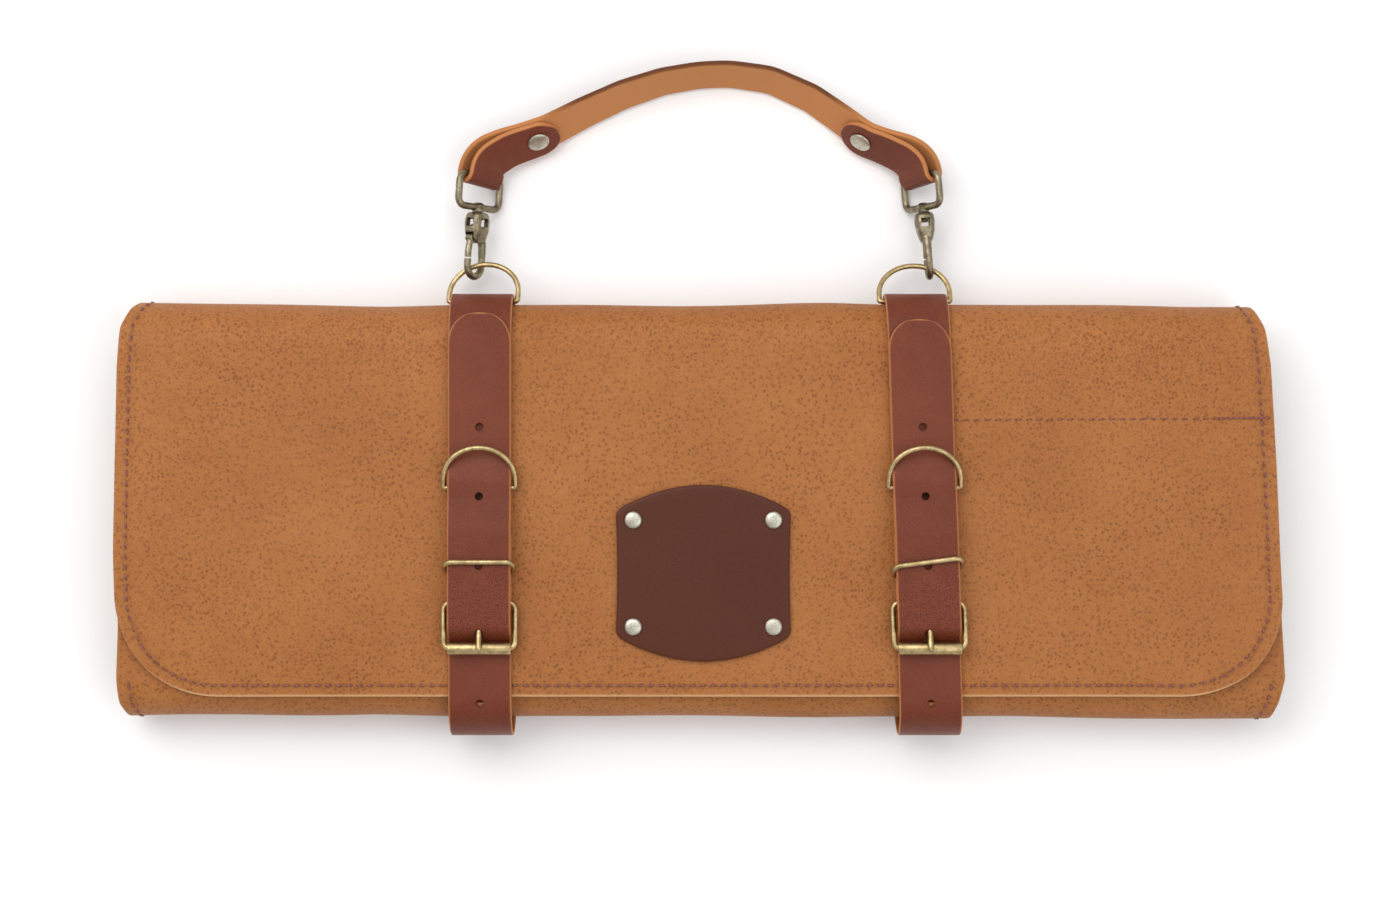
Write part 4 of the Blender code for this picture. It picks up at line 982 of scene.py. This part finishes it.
hole_rows = (
    (0, on_flap_z + BELT_WALL / 2 + GAP / 2),
    (1, on_flap_z + BELT_WALL / 2 + GAP / 2),
    (2, over_bars_z + BELT_WALL / 2 + GAP / 2),
    (4, flap_z + GAP / 2),
)
for hand in ("left", "right"):
    line, half_width, outer_from = belt_line(BELT_TIP_Y[hand])
    at = along_line(line)
    along = unit(np.gradient(line, at + np.arange(len(at)) * 1e-9, axis=0))
    middle_line = np.column_stack([lean_at(hand, line[:, 0]), line])
    facing = np.column_stack([np.zeros(len(line)), -along[:, 1], along[:, 0]])
    across = np.broadcast_to((1.0, 0.0, 0.0), facing.shape)
    rings, words, x_across, s_along = strap(middle_line, across, facing, half_width, BELT_WALL)
    y_grid = np.broadcast_to(line[:, :1], x_across.shape)
    outer = np.broadcast_to((np.arange(len(line)) >= outer_from)[:, None], x_across.shape)
    # Painted shade where the belt wraps the top and bottom folds and between the roller and the keeper, a
    # painted highlight just below the roller, and real wear round each hole.
    shading_and_wear = 0.18 + 0.62 * bump_at(y_grid, roller_y + 0.017, 0.019) + 0.20 * bump_at(y_grid, roll_bottom, 0.008)
    shading_and_wear = shading_and_wear + 0.25 * bump_at(y_grid, roll_top, 0.014) - 0.12 * bump_at(y_grid, roller_y - 0.014, 0.008)
    for number in range(5):
        hole_y = FIRST_HOLE_Y - number * HOLE_PITCH
        shading_and_wear = shading_and_wear + 0.30 * bump_at(np.hypot(x_across, y_grid - hole_y), HOLE_RADIUS, 0.0006) * outer
    words["shade"] = both(np.clip(shading_and_wear, 0, 0.9), np.zeros_like(shading_and_wear)).ravel()
    words["groove_and_shade"] = np.zeros(len(words["rim"]))
    belt = build(f"{hand}_belt_strap", [closed_band(rings)], red_leather, words, 50.0)
    cuts = []
    top_of_cut = over_fold_z + 2 * BELT_WALL
    for number, floor in hole_rows:
        hole_y = FIRST_HOLE_Y - number * HOLE_PITCH
        spot = (lean_at(hand, hole_y), hole_y - HOLE_RADIUS, hole_y + HOLE_RADIUS)
        cuts.append(slot_cutter(*spot, floor, top_of_cut, HOLE_RADIUS))
    prong_x = lean_at(hand, heel_y)
    prong_slot = (roller_y + PRONG_SLOT[0], roller_y + PRONG_SLOT[1])
    cuts.append(slot_cutter(prong_x, *prong_slot, flap_z + GAP / 2, top_of_cut, HOLE_RADIUS))
    fold_slot = (heel_y - 2 * BUCKLE_WIRE, heel_y + 1.9 * BUCKLE_WIRE)
    below_over = over_bars_z + BELT_WALL / 2 + GAP / 2
    fold_cut = slot_cutter(prong_x, *fold_slot, flap_z + GAP / 2, below_over, FOLD_SLOT_RADIUS)
    carved(belt, build("belt_cutter", cuts, red_leather), "DIFFERENCE", 50.0)
    carved(belt, build("fold_cutter", [fold_cut], red_leather), "DIFFERENCE", 50.0)
    fit_out(belt, "root", "red_brown_leather", f"{hand}_belt")


# The brass on the belts
# Bent from aged brass wire: a buckle frame with its prong and a loose roller, a keeper loop above it,
# and two D-rings, one held between the belt's layers and one where the belt passes over the roll.
BUCKLE_WIDTH = 0.0319
BUCKLE_CORNER = 0.0028
KEEPER_WIRE = 0.0022
KEEPER_LEAN = 0.0046
KEEPER_WIDTH = 0.0308
KEEPER_CORNER = 0.0034
D_WIDTH = 0.0318
D_CORNER = 0.0014
D_LEG = 0.0024
# The prong's eyelet: each row is (share of the prong's radius along the bar, height above the bore)
EYELET_ROWS = ((-1.0, 0.0), (-1.0, 0.0007), (-0.7, 0.0009), (0.7, 0.0009), (1.0, 0.0007), (1.0, 0.0))
aged_brass = metal("aged_brass", (0.62, 0.475, 0.245), (0.36, 0.262, 0.120), 0.27, 330.0, 2200.0)


def wire_rings(path, normal, radius, sides=20, closed=True):
    """Circles along a path that lies in a plane, square to its direction."""
    path = np.asarray(path, float)
    normal = unit(normal)
    along = unit(np.roll(path, -1, 0) - np.roll(path, 1, 0)) if closed else unit(np.gradient(path, axis=0))
    side = unit(np.cross(along, normal))
    turn = full_turn(sides)
    reach = np.broadcast_to(radius, (len(path),))[:, None, None]
    ring = np.cos(turn)[None, :, None] * side[:, None, :] + np.sin(turn)[None, :, None] * normal
    return path[:, None, :] + reach * ring


def rounded_frame(half_wide, length, corner):
    """A rounded rectangle from (-half_wide, 0) to (half_wide, length): quarter circles at the corners."""
    turn = np.radians(np.linspace(0, 90, 10))
    arcs = []
    for side_x, side_y, first in ((1, 0, -90), (1, 1, 0), (-1, 1, 90), (-1, 0, 180)):
        middle = np.array((side_x * (half_wide - corner), corner if side_y == 0 else length - corner))
        angle = turn + math.radians(first)
        arcs.append(middle + corner * np.stack([np.cos(angle), np.sin(angle)], axis=1))
    return np.concatenate(arcs)


def d_outline():
    """A D: a straight bar, two short legs and a half circle, eased at its corners."""
    radius = (D_WIDTH - D_WIRE) / 2
    turn = np.linspace(0, math.pi, 60)
    rise = D_CORNER + D_LEG + (radius - D_CORNER) * np.sin(turn)
    arc = np.stack([radius * np.cos(turn), rise], axis=1)
    return eased(np.concatenate([[(-radius, 0.0), (radius, 0.0)], arc]), 0.0005, 3, loops=True)


def set_ring(name, node, centre, right, out, path, thickness):
    """A closed wire piece from an outline in the plane of two directions."""
    right, out = unit(right), unit(out)
    line = np.asarray(centre) + path[:, :1] * right + path[:, 1:] * out
    rings = wire_rings(line, np.cross(right, out), thickness / 2)
    made = build(name, [looped_tube(rings)], aged_brass, None, 60.0)
    fit_out(made, "root", "brass", node)


for hand in ("left", "right"):
    heel = np.array((lean_at(hand, heel_y), heel_y, bars_z))
    nose = middle_of(f"{hand}_buckle_roller")
    down_frame = unit(nose - heel)
    span = np.linalg.norm(nose - heel)
    right_way = np.array((1.0, 0.0, 0.0))
    outline = rounded_frame((BUCKLE_WIDTH - BUCKLE_WIRE) / 2, span, BUCKLE_CORNER)
    outline = eased(outline, 0.0005, 2, loops=True)
    set_ring(f"{hand}_buckle", f"{hand}_buckle_frame", heel, right_way, down_frame, outline, BUCKLE_WIRE)

    bore = BUCKLE_WIRE / 2 + GAP
    roller_half = BUCKLE_WIDTH / 2 - BUCKLE_WIRE - 1.5 * GAP
    edge = ((0.0, ROLLER_RADIUS - 0.0004), (0.00012, ROLLER_RADIUS - 0.00012), (0.0004, ROLLER_RADIUS))
    lip = np.array([(0.0, bore), *edge])
    far_lip = (lip * (-1, 1))[::-1] + (roller_half, 0)
    tube = np.concatenate([lip - (roller_half, 0), far_lip])
    roller_rings = turned_rings(tube, nose, right_way, down_frame, 40)
    roller = build(f"{hand}_roller", [looped_tube(roller_rings)], aged_brass, None, 38.0)
    fit_out(roller, "root", "brass", f"{hand}_buckle_roller")

    eyelet = np.array(EYELET_ROWS) * (PRONG_RADIUS, 1) + (0, bore)
    prong_rings = turned_rings(eyelet, heel, right_way, down_frame, 32)
    over_roller = nose[2] + ROLLER_RADIUS + PRONG_RADIUS * 1.25
    arm = [
        heel + (0, -bore - 0.0003, 0.0006),
        heel + (0, -0.0062, 0.0016),
        (nose[0], nose[1] + 0.0054, over_roller - 0.0016),
        (nose[0], nose[1] + 0.0005, over_roller),
        (nose[0], nose[1] - 0.0010, over_roller - 0.0001),
    ]
    arm = eased(arm, 0.0005, 8)
    share = np.linspace(0, 1, len(arm))
    rounding = np.clip((share - 0.92) / 0.085, 0, 0.97)
    arm_radius = PRONG_RADIUS * (0.86 + 0.38 * share) * np.sqrt(1 - rounding**2)
    prong = build(f"{hand}_prong", [looped_tube(prong_rings)], aged_brass)
    arm_rings = wire_rings(arm, right_way, arm_radius, closed=False)
    prong_arm = build("prong_arm", [closed_tube(arm_rings)], aged_brass)
    carved(prong, prong_arm, "UNION", 50.0)
    fit_out(prong, "root", "brass", f"{hand}_buckle_prong")

    keeper_low, keeper_high = (np.array(c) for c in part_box(f"{hand}_keeper"))
    keeper_middle = (keeper_low + keeper_high) / 2
    keeper_tall = keeper_high[2] - keeper_low[2] - KEEPER_WIRE
    keeper_slope = math.hypot(keeper_tall + 0.0002, KEEPER_LEAN)
    outline = rounded_frame((KEEPER_WIDTH - KEEPER_WIRE) / 2, keeper_slope, KEEPER_CORNER)
    outline = eased(outline, 0.0004, 3, loops=True)
    start = keeper_middle - (0, KEEPER_LEAN - 0.0004, keeper_tall / 2)
    lean_back = unit((0.0, KEEPER_LEAN, keeper_tall))
    turn_right = unit((1.0, 0.0 if hand == "left" else 0.13, 0.0))
    set_ring(f"{hand}_keeper_loop", f"{hand}_keeper", start, turn_right, lean_back, outline, KEEPER_WIRE)

    bar_z = on_flap_z + BELT_WALL / 2 + GAP + D_WIRE / 2
    ring_low, ring_high = (np.array(c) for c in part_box(f"{hand}_mid_d_ring"))
    rise_of = (ring_high[2] - ring_low[2] - D_WIRE) / (ring_high[1] - ring_low[1] - D_WIRE)
    centre = np.array((lean_at(hand, mid_d_y), mid_d_y, bar_z))
    rising = unit((0, 1, rise_of))
    set_ring(f"{hand}_middle_ring", f"{hand}_mid_d_ring", centre, right_way, rising, d_outline(), D_WIRE)


# The snap hooks and the rings they hang from
# Cast swivel hooks in dark antique brass: an eye of bent wire with a collar and a post, the hook's
# body with its windows and bend, and a sprung gate on a pin. Each hooks over a D-ring at the roll's edge.
HOOK_OFF = {"left": -0.0054, "right": 0.0065}
RING_ROLL_DEG = {"left": 10.0, "right": 0.0}
LEG_HALF_SPREAD = 0.0047
HOOK_WIRE = 0.0030
BLOCK_LENGTH = 0.0130
BLOCK_WIDTH = 0.0104
BLOCK_DEPTH = 0.0084
HOOK_BEND_AT = 0.0225
HOOK_TIP_AT = 0.0199
GATE_PIVOT_AT = 0.0112
GATE_PIVOT_OFF = 0.0034
PIN_RADIUS = 0.00065
POST_RADIUS = 0.0011
EYE_LENGTH = 0.0155
EYE_WIRE = 0.0030
EYE_CORNER = 0.0034
EYE_BAR_BACK = 0.0020
EYE_SIDE_ROOM = 0.0026
WINDOW_HALF_WIDTH = 0.0023
WINDOW_HALF_DEPTH = 0.0019
WINDOW_FROM = 0.0026
WINDOW_TO = 0.0062
BORE_TO = 0.0044
SLOT_REACH = 0.0026
SLOT_RUN_OUT = 0.0020
KNUCKLE_RADIUS = 0.0019
KNUCKLE_CHAMFER = 0.0003
HANDLE_WIDTH = 0.0190
EYE_LEAN_DEG = {"left": 50.0, "right": 58.0}

# The block: each row is (share of its length, of its width, of its depth)
BLOCK_ROWS = (
    (0.0, 0.50, 0.56),
    (0.03, 0.72, 0.80),
    (0.10, 0.87, 0.93),
    (0.30, 1.0, 1.0),
    (0.62, 1.0, 0.90),
    (0.88, 0.90, 0.66),
    (0.97, 0.78, 0.52),
    (1.0, 0.62, 0.40),
)
# The eye's collar and post: each row is (distance along the post, radius)
POST_ROWS = (
    (-0.0040, 0.0014),
    (-0.0036, 0.0021),
    (-0.0028, 0.0027),
    (-0.0020, 0.0023),
    (-0.0014, 0.0027),
    (-GAP, 0.0025),
    (-GAP, POST_RADIUS),
    (0.0029, POST_RADIUS),
    (0.0029, 0.0017),
    (0.0032, 0.0019),
    (0.0039, 0.0019),
    (0.0042, 0.0016),
)
dark_brass = metal("dark_brass", (0.335, 0.285, 0.190), (0.170, 0.140, 0.090), 0.31, 380.0, 2100.0)
motions = {joint["name"]: joint for joint in frame["record"]["behaviour"]["joints"]}


def placed(points, hook):
    """Points of a hook's own frame, (towards its spine, along it, out of its plane), in the world."""
    origin, spine, down, out_of = hook
    points = np.asarray(points, float)
    return origin + points[..., :1] * spine + points[..., 1:2] * down + points[..., 2:] * out_of


def soft_box(low, high, hook):
    """A box between two corners of a hook's own frame."""
    x, y = (low[0], high[0]), (low[1], high[1])
    ring = [(x[0], y[0]), (x[1], y[0]), (x[1], y[1]), (x[0], y[1])]
    rings = np.array([[(a, b, z) for a, b in ring] for z in (low[2], high[2])])
    return closed_tube(placed(rings, hook))


def block_rings():
    """The hook's thick block: superellipses whose two widths follow a short table along it."""
    rows = np.array(BLOCK_ROWS)
    share = np.linspace(0, 1, 34)
    wide = eased(np.column_stack([share, np.interp(share, rows[:, 0], rows[:, 1])]), 0.03, 1)
    share = wide[:, 0]
    deep = np.interp(share, rows[:, 0], rows[:, 2])
    turn = full_turn(40)
    x = np.sign(np.cos(turn)) * np.abs(np.cos(turn)) ** 0.62
    z = np.sign(np.sin(turn)) * np.abs(np.sin(turn)) ** 0.62
    ring_x = BLOCK_WIDTH / 2 * wide[:, 1:] * x
    ring_z = BLOCK_DEPTH / 2 * deep[:, None] * z
    return np.stack([ring_x, np.broadcast_to(share[:, None] * BLOCK_LENGTH, ring_x.shape), ring_z], axis=-1)


def d_height(off):
    """How far the D's wire lies from its bar at a distance from the D's middle: the half circle's rise."""
    radius = (D_WIDTH - D_WIRE) / 2
    return D_CORNER + D_LEG + (radius - D_CORNER) * math.sqrt(1 - (off / radius) ** 2)


def turned_part(name, profile, seat, axis, across, sides=32):
    """A turned body of dark brass."""
    return build(name, [closed_tube(turned_rings(profile, seat, axis, across, sides))], dark_brass)


hooks = {}
for hand in ("left", "right"):
    swivel, hinge = motions[f"{hand}_hook_swivel"], motions[f"{hand}_gate_hinge"]
    origin, down = np.array(swivel["pos_m"]), unit(swivel["axis"])
    pivot, out_of = np.array(hinge["pos_m"]), unit(hinge["axis"])
    spine = unit(np.cross(down, out_of))
    hook = (origin, spine, down, out_of)
    hooks[hand] = hook
    spread = LEG_HALF_SPREAD

    # The body: its block, the round leg and bend, two crossing windows, the post's bore, the gate's slot
    # and the pin
    body = build(f"{hand}_hook", [closed_tube(placed(block_rings(), hook))], dark_brass)
    bend = np.linspace(0, math.pi, 40)
    leg = [(spread * 0.55, BLOCK_LENGTH * 0.70, 0), (spread * 0.92, BLOCK_LENGTH * 1.05, 0)]
    leg += [(spread, HOOK_BEND_AT * 0.85, 0)]
    leg += [(spread * math.cos(a), HOOK_BEND_AT + spread * math.sin(a), 0) for a in bend]
    leg = eased(leg + [(-spread, HOOK_TIP_AT, 0)], 0.0004, 6)
    radius = HOOK_WIRE / 2 * (1 + 0.28 * np.clip(1 - np.arange(len(leg)) / 26, 0, 1))
    leg_rings = wire_rings(placed(leg, hook), out_of, radius, 24, False)
    carved(body, build("hook_leg", [closed_tube(leg_rings)], dark_brass), "UNION")
    for half_x, half_z in ((WINDOW_HALF_WIDTH, BLOCK_DEPTH), (BLOCK_WIDTH, WINDOW_HALF_DEPTH)):
        window = soft_box((-half_x, WINDOW_FROM, -half_z), (half_x, WINDOW_TO, half_z), hook)
        carved(body, build("window", [window], dark_brass), "DIFFERENCE")
    bore_line = ((-EYE_BAR_BACK, POST_RADIUS + GAP), (BORE_TO, POST_RADIUS + GAP))
    carved(body, turned_part("post_bore", bore_line, origin, down, spine), "DIFFERENCE")
    slot_half = HOOK_WIRE / 2 + 2 * GAP
    slot_low = (-BLOCK_WIDTH, GATE_PIVOT_AT - SLOT_REACH, -slot_half)
    slot_high = (-GATE_PIVOT_OFF + SLOT_REACH, BLOCK_LENGTH + SLOT_RUN_OUT, slot_half)
    carved(body, build("gate_slot", [soft_box(slot_low, slot_high, hook)], dark_brass), "DIFFERENCE")
    reach = BLOCK_DEPTH / 2 * 0.66
    pin_line = ((-reach, PIN_RADIUS), (reach, PIN_RADIUS))
    carved(body, turned_part("gate_pin", pin_line, pivot, out_of, spine, 16), "UNION")
    fit_out(body, f"{hand}_hook", "dark_brass", f"{hand}_hook_body")

    # The gate: a knuckle round the pin and a round bar to just short of the hook's tip
    half_knuckle = HOOK_WIRE / 2 + GAP / 2
    eased_half, eased_radius = half_knuckle - KNUCKLE_CHAMFER, KNUCKLE_RADIUS - KNUCKLE_CHAMFER
    knuckle = [(-half_knuckle, eased_radius), (-eased_half, KNUCKLE_RADIUS)]
    knuckle += [(eased_half, KNUCKLE_RADIUS), (half_knuckle, eased_radius)]
    gate = turned_part(f"{hand}_gate", knuckle, pivot, out_of, spine)
    bar_end = HOOK_TIP_AT - 2.2 * GAP
    bar = [(-GATE_PIVOT_OFF - 0.0002, GATE_PIVOT_AT + 0.0004, 0), (-spread * 0.92, GATE_PIVOT_AT + 0.0028, 0)]
    bar = eased(bar + [(-spread, bar_end - 0.0030, 0), (-spread, bar_end, 0)], 0.0004, 4)
    bar_rings = wire_rings(placed(bar, hook), out_of, HOOK_WIRE / 2 * 0.94, 24, False)
    carved(gate, build("gate_bar", [closed_tube(bar_rings)], dark_brass), "UNION")
    clear_line = ((-BLOCK_DEPTH, PIN_RADIUS + GAP), (BLOCK_DEPTH, PIN_RADIUS + GAP))
    carved(gate, turned_part("gate_bore", clear_line, pivot, out_of, spine, 20), "DIFFERENCE")
    fit_out(gate, f"{hand}_gate", "dark_brass", f"{hand}_hook_gate")

    # The eye: a rounded wire loop, its collar, and the post whose head turns in the window
    lean = math.radians(EYE_LEAN_DEG[hand])
    eye_across = np.array(((-1 if hand == "left" else 1) * math.cos(lean), 0, math.sin(lean)))
    eye_across = unit(eye_across - down * (eye_across @ down))
    eye_half = HANDLE_WIDTH / 2 + EYE_SIDE_ROOM
    flat = eased(rounded_frame(eye_half, EYE_LENGTH - EYE_BAR_BACK, EYE_CORNER), 0.0004, 3, loops=True)
    eye_line = origin + flat[:, :1] * eye_across - (EYE_BAR_BACK + flat[:, 1:]) * down
    eye_rings = wire_rings(eye_line, np.cross(eye_across, down), EYE_WIRE / 2, 24)
    eye = build(f"{hand}_eye", [looped_tube(eye_rings)], dark_brass)
    carved(eye, turned_part("swivel_post", POST_ROWS, origin, down, eye_across), "UNION")
    fit_out(eye, "root", "dark_brass", f"{hand}_hook_eye")

    # The ring that the hook hangs from, sloping down so that its wire meets the middle of the hook
    ring_y = roll_top + GAP + D_WIRE / 2
    roll_angle = math.radians(RING_ROLL_DEG[hand])
    ring_right = np.array((math.cos(roll_angle), 0, math.sin(roll_angle)))
    ring_centre = np.array((lean_at(hand, ring_y), ring_y, (flap_z + back_z) / 2))
    drop = ring_centre[2] + ring_right[2] * HOOK_OFF[hand] - origin[2]
    tilt = math.asin(drop / d_height(HOOK_OFF[hand]) / math.cos(roll_angle))
    below = np.cross((0, 1, 0), ring_right)
    below = below * math.copysign(1, -below[2])
    ring_out = math.cos(tilt) * np.array((0, 1, 0)) + math.sin(tilt) * below
    names = (f"{hand}_edge_ring", f"{hand}_top_d_ring")
    set_ring(*names, ring_centre, ring_right, ring_out, d_outline(), D_WIRE)


# The carrying handle
# One strap of the same leather, 19 mm wide, standing on its edge with its flesh side towards the
# roll. It loops round each eye, comes back along itself and is held by one rivet at each rounded end.
HANDLE_WALL = 0.0023
HANDLE_RISE = 0.0433
HANDLE_RETURN = 0.0400
HANDLE_LEAD = 0.0048
HANDLE_FLOOR_GAP = 0.0005
LOOP_CLEARANCE = 0.0009
DIRECTION_SCALE = 1e-4
HANDLE_RIVET_RADIUS = 0.0046
HANDLE_RIVET_HEIGHT = 0.0013

# The handle's middle line from eye to eye: each row is (share of the way across,
# share of the rise, lean of the strap's width from the floor in degrees)
HANDLE_LINE = (
    (0.000, 0.000, 50.0),
    (0.022, 0.190, 50.0),
    (0.060, 0.275, 51.0),
    (0.105, 0.340, 52.0),
    (0.156, 0.420, 55.0),
    (0.238, 0.600, 59.0),
    (0.326, 0.772, 62.0),
    (0.416, 0.898, 65.0),
    (0.498, 0.958, 66.0),
    (0.563, 0.970, 66.0),
    (0.656, 0.915, 65.0),
    (0.749, 0.738, 63.0),
    (0.814, 0.545, 61.0),
    (0.873, 0.360, 60.0),
    (0.920, 0.285, 59.0),
    (0.968, 0.205, 58.0),
    (1.000, 0.000, 58.0),
)

left_bar = hooks["left"][0] - hooks["left"][2] * EYE_LENGTH
right_bar = hooks["right"][0] - hooks["right"][2] * EYE_LENGTH
span = right_bar - left_bar
handle_rows = np.array(HANDLE_LINE)
handle_line = np.column_stack(
    [
        left_bar[0] + span[0] * handle_rows[:, 0],
        left_bar[1] + span[1] * handle_rows[:, 0] + HANDLE_RISE * handle_rows[:, 1],
        np.radians(handle_rows[:, 2]),
    ]
)
first = [(*(left_bar - hooks["left"][2] * HANDLE_LEAD)[:2], handle_line[0, 2])]
last = [(*(right_bar - hooks["right"][2] * HANDLE_LEAD)[:2], handle_line[-1, 2])]
handle_line = np.concatenate([handle_line[:1], first, handle_line[1:-1], last, handle_line[-1:]])
handle_line = eased(handle_line, 0.0008, 34)
handle_at = along_line(handle_line[:, :2])
handle_length = handle_at[-1]
handle_along = unit(np.gradient(handle_line[:, :2], axis=0))
loop_radius = EYE_WIRE / 2 + LOOP_CLEARANCE + HANDLE_WALL / 2
touch = HANDLE_WALL / 2 + GAP / 2


def handle_station(s, offset):
    """A place on the handle at a distance from the left eye, with the directions of its width and of
    its thickness. It rises from the eye's height to its rest on the floor by a smooth step."""
    s = np.asarray(s, float)
    x, y, lean = (np.interp(s, handle_at, handle_line[:, k]) for k in range(3))
    ahead = unit(np.stack([np.interp(s, handle_at, handle_along[:, k]) for k in (0, 1)], axis=-1))
    rest = HANDLE_WIDTH / 2 * np.sin(lean) + HANDLE_WALL * np.cos(lean) + HANDLE_FLOOR_GAP
    k = np.clip(np.minimum(s, handle_length - s) / (HANDLE_RETURN * 0.9), 0, 1)
    eye_z = hooks["left"][0][2]
    z = eye_z + (rest - eye_z) * k * k * (3 - 2 * k)
    wide = np.stack([-ahead[..., 1] * np.cos(lean), ahead[..., 0] * np.cos(lean), np.sin(lean)], axis=-1)
    away = np.stack([-ahead[..., 1] * np.sin(lean), ahead[..., 0] * np.sin(lean), -np.cos(lean)], axis=-1)
    return np.stack([x, y, z], axis=-1) + away * np.asarray(offset)[..., None], wide, away, ahead


def strand_gap(s):
    """Half the distance between the two strands at a distance from the eye: a smooth step."""
    k = np.clip(s / (HANDLE_RETURN * 0.62), 0, 1)
    return loop_radius + (touch - loop_radius) * k * k * (3 - 2 * k)


def eye_turn(s, way):
    """The half turn round an eye's bar, from the returned strand to the main one."""
    angle = np.radians(np.linspace(-88, 88, 30))
    centre, wide, away, ahead = handle_station(s, 0.0)
    ahead = np.array((*ahead, 0.0)) * way
    ring = centre + (away * np.sin(angle)[:, None] - ahead * np.cos(angle)[:, None]) * loop_radius
    return ring, np.broadcast_to(wide, ring.shape)


returned = np.linspace(HANDLE_RETURN, 0, 70)
main = np.linspace(0, handle_length, 300)
main_gap = strand_gap(np.minimum(main, handle_length - main))
left_end = handle_station(returned, -strand_gap(returned))
right_end = handle_station(handle_length - returned[::-1], -strand_gap(returned[::-1]))
left_loop, left_loop_wide = eye_turn(0.0, 1)
right_loop, right_loop_wide = eye_turn(handle_length, -1)
main_run = handle_station(main, main_gap)
handle_path = np.concatenate([left_end[0], left_loop, main_run[0], right_loop[::-1], right_end[0]])
handle_wide = np.concatenate([left_end[1], left_loop_wide, main_run[1], right_loop_wide, right_end[1]])
# The directions ride along scaled down, so that the even step is one of distance
both_lines = eased(np.column_stack([handle_path, handle_wide * DIRECTION_SCALE]), 0.0006, 3)
handle_path, handle_wide = both_lines[:, :3], unit(both_lines[:, 3:])
run_at = along_line(handle_path)
run_ahead = unit(np.gradient(handle_path, axis=0))
handle_wide = unit(handle_wide - run_ahead * np.einsum("ij,ij->i", handle_wide, run_ahead)[:, None])
grain_way = unit(np.cross(handle_wide, run_ahead))
tip = HANDLE_WIDTH / 2
from_end = np.minimum(run_at, run_at[-1] - run_at)
rounding = np.clip(1 - from_end / tip, 0, 0.9995)
handle_half = tip * np.sqrt(1 - rounding**2)
rings, words, x_across, s_along = strap(handle_path, handle_wide, grain_way, handle_half, HANDLE_WALL)
from_strap_end = np.minimum(s_along, run_at[-1] - s_along)
in_main = np.clip((from_strap_end - 2.1 * HANDLE_RETURN) / 0.02, 0, 1)
upper_edge = np.clip(1 - (tip - x_across) / 0.0010, 0, 1)
# Painted shade where the strap turns round each eye, and darker towards the strap's two ends.
shading_and_wear = 0.10 + 0.25 * bump_at(from_strap_end, 0.0, 0.006)
shading_and_wear = shading_and_wear + 0.30 * bump_at(from_strap_end, HANDLE_RETURN, 0.009)
# Painted shade inside each loop, on the flesh side between the two strands.
inside_loop_shade = 0.9 * bump_at(from_strap_end, HANDLE_RETURN + 0.006, 0.012)
words["shade"] = both(np.clip(shading_and_wear, 0, 0.9), np.clip(shading_and_wear, 0, 0.9)).ravel()
dark_rim = 1.9 * upper_edge * in_main
words["groove_and_shade"] = both(dark_rim, np.maximum(dark_rim, inside_loop_shade * 0.7)).ravel()
handle = build("handle_leather", [closed_band(rings)], red_leather, words, 50.0)
fit_out(handle, "root", "red_brown_leather", "handle_strap")

# The rivet through each returned end, set on the grain side
from_eye = HANDLE_RETURN - tip
for hand, s in (("left", from_eye), ("right", handle_length - from_eye)):
    place, wide, away, _ = handle_station(s, -strand_gap(np.array(from_eye)))
    seat = place - away * (HANDLE_WALL / 2 + 0.0001)
    cap_rings = turned_rings(cap_profile(HANDLE_RIVET_RADIUS, HANDLE_RIVET_HEIGHT), seat, -away, wide, 48)
    cap = build(f"{hand}_handle_cap", [closed_tube(cap_rings)], nickel, None, 60.0)
    fit_out(cap, "root", "nickel", f"{hand}_handle_rivet")
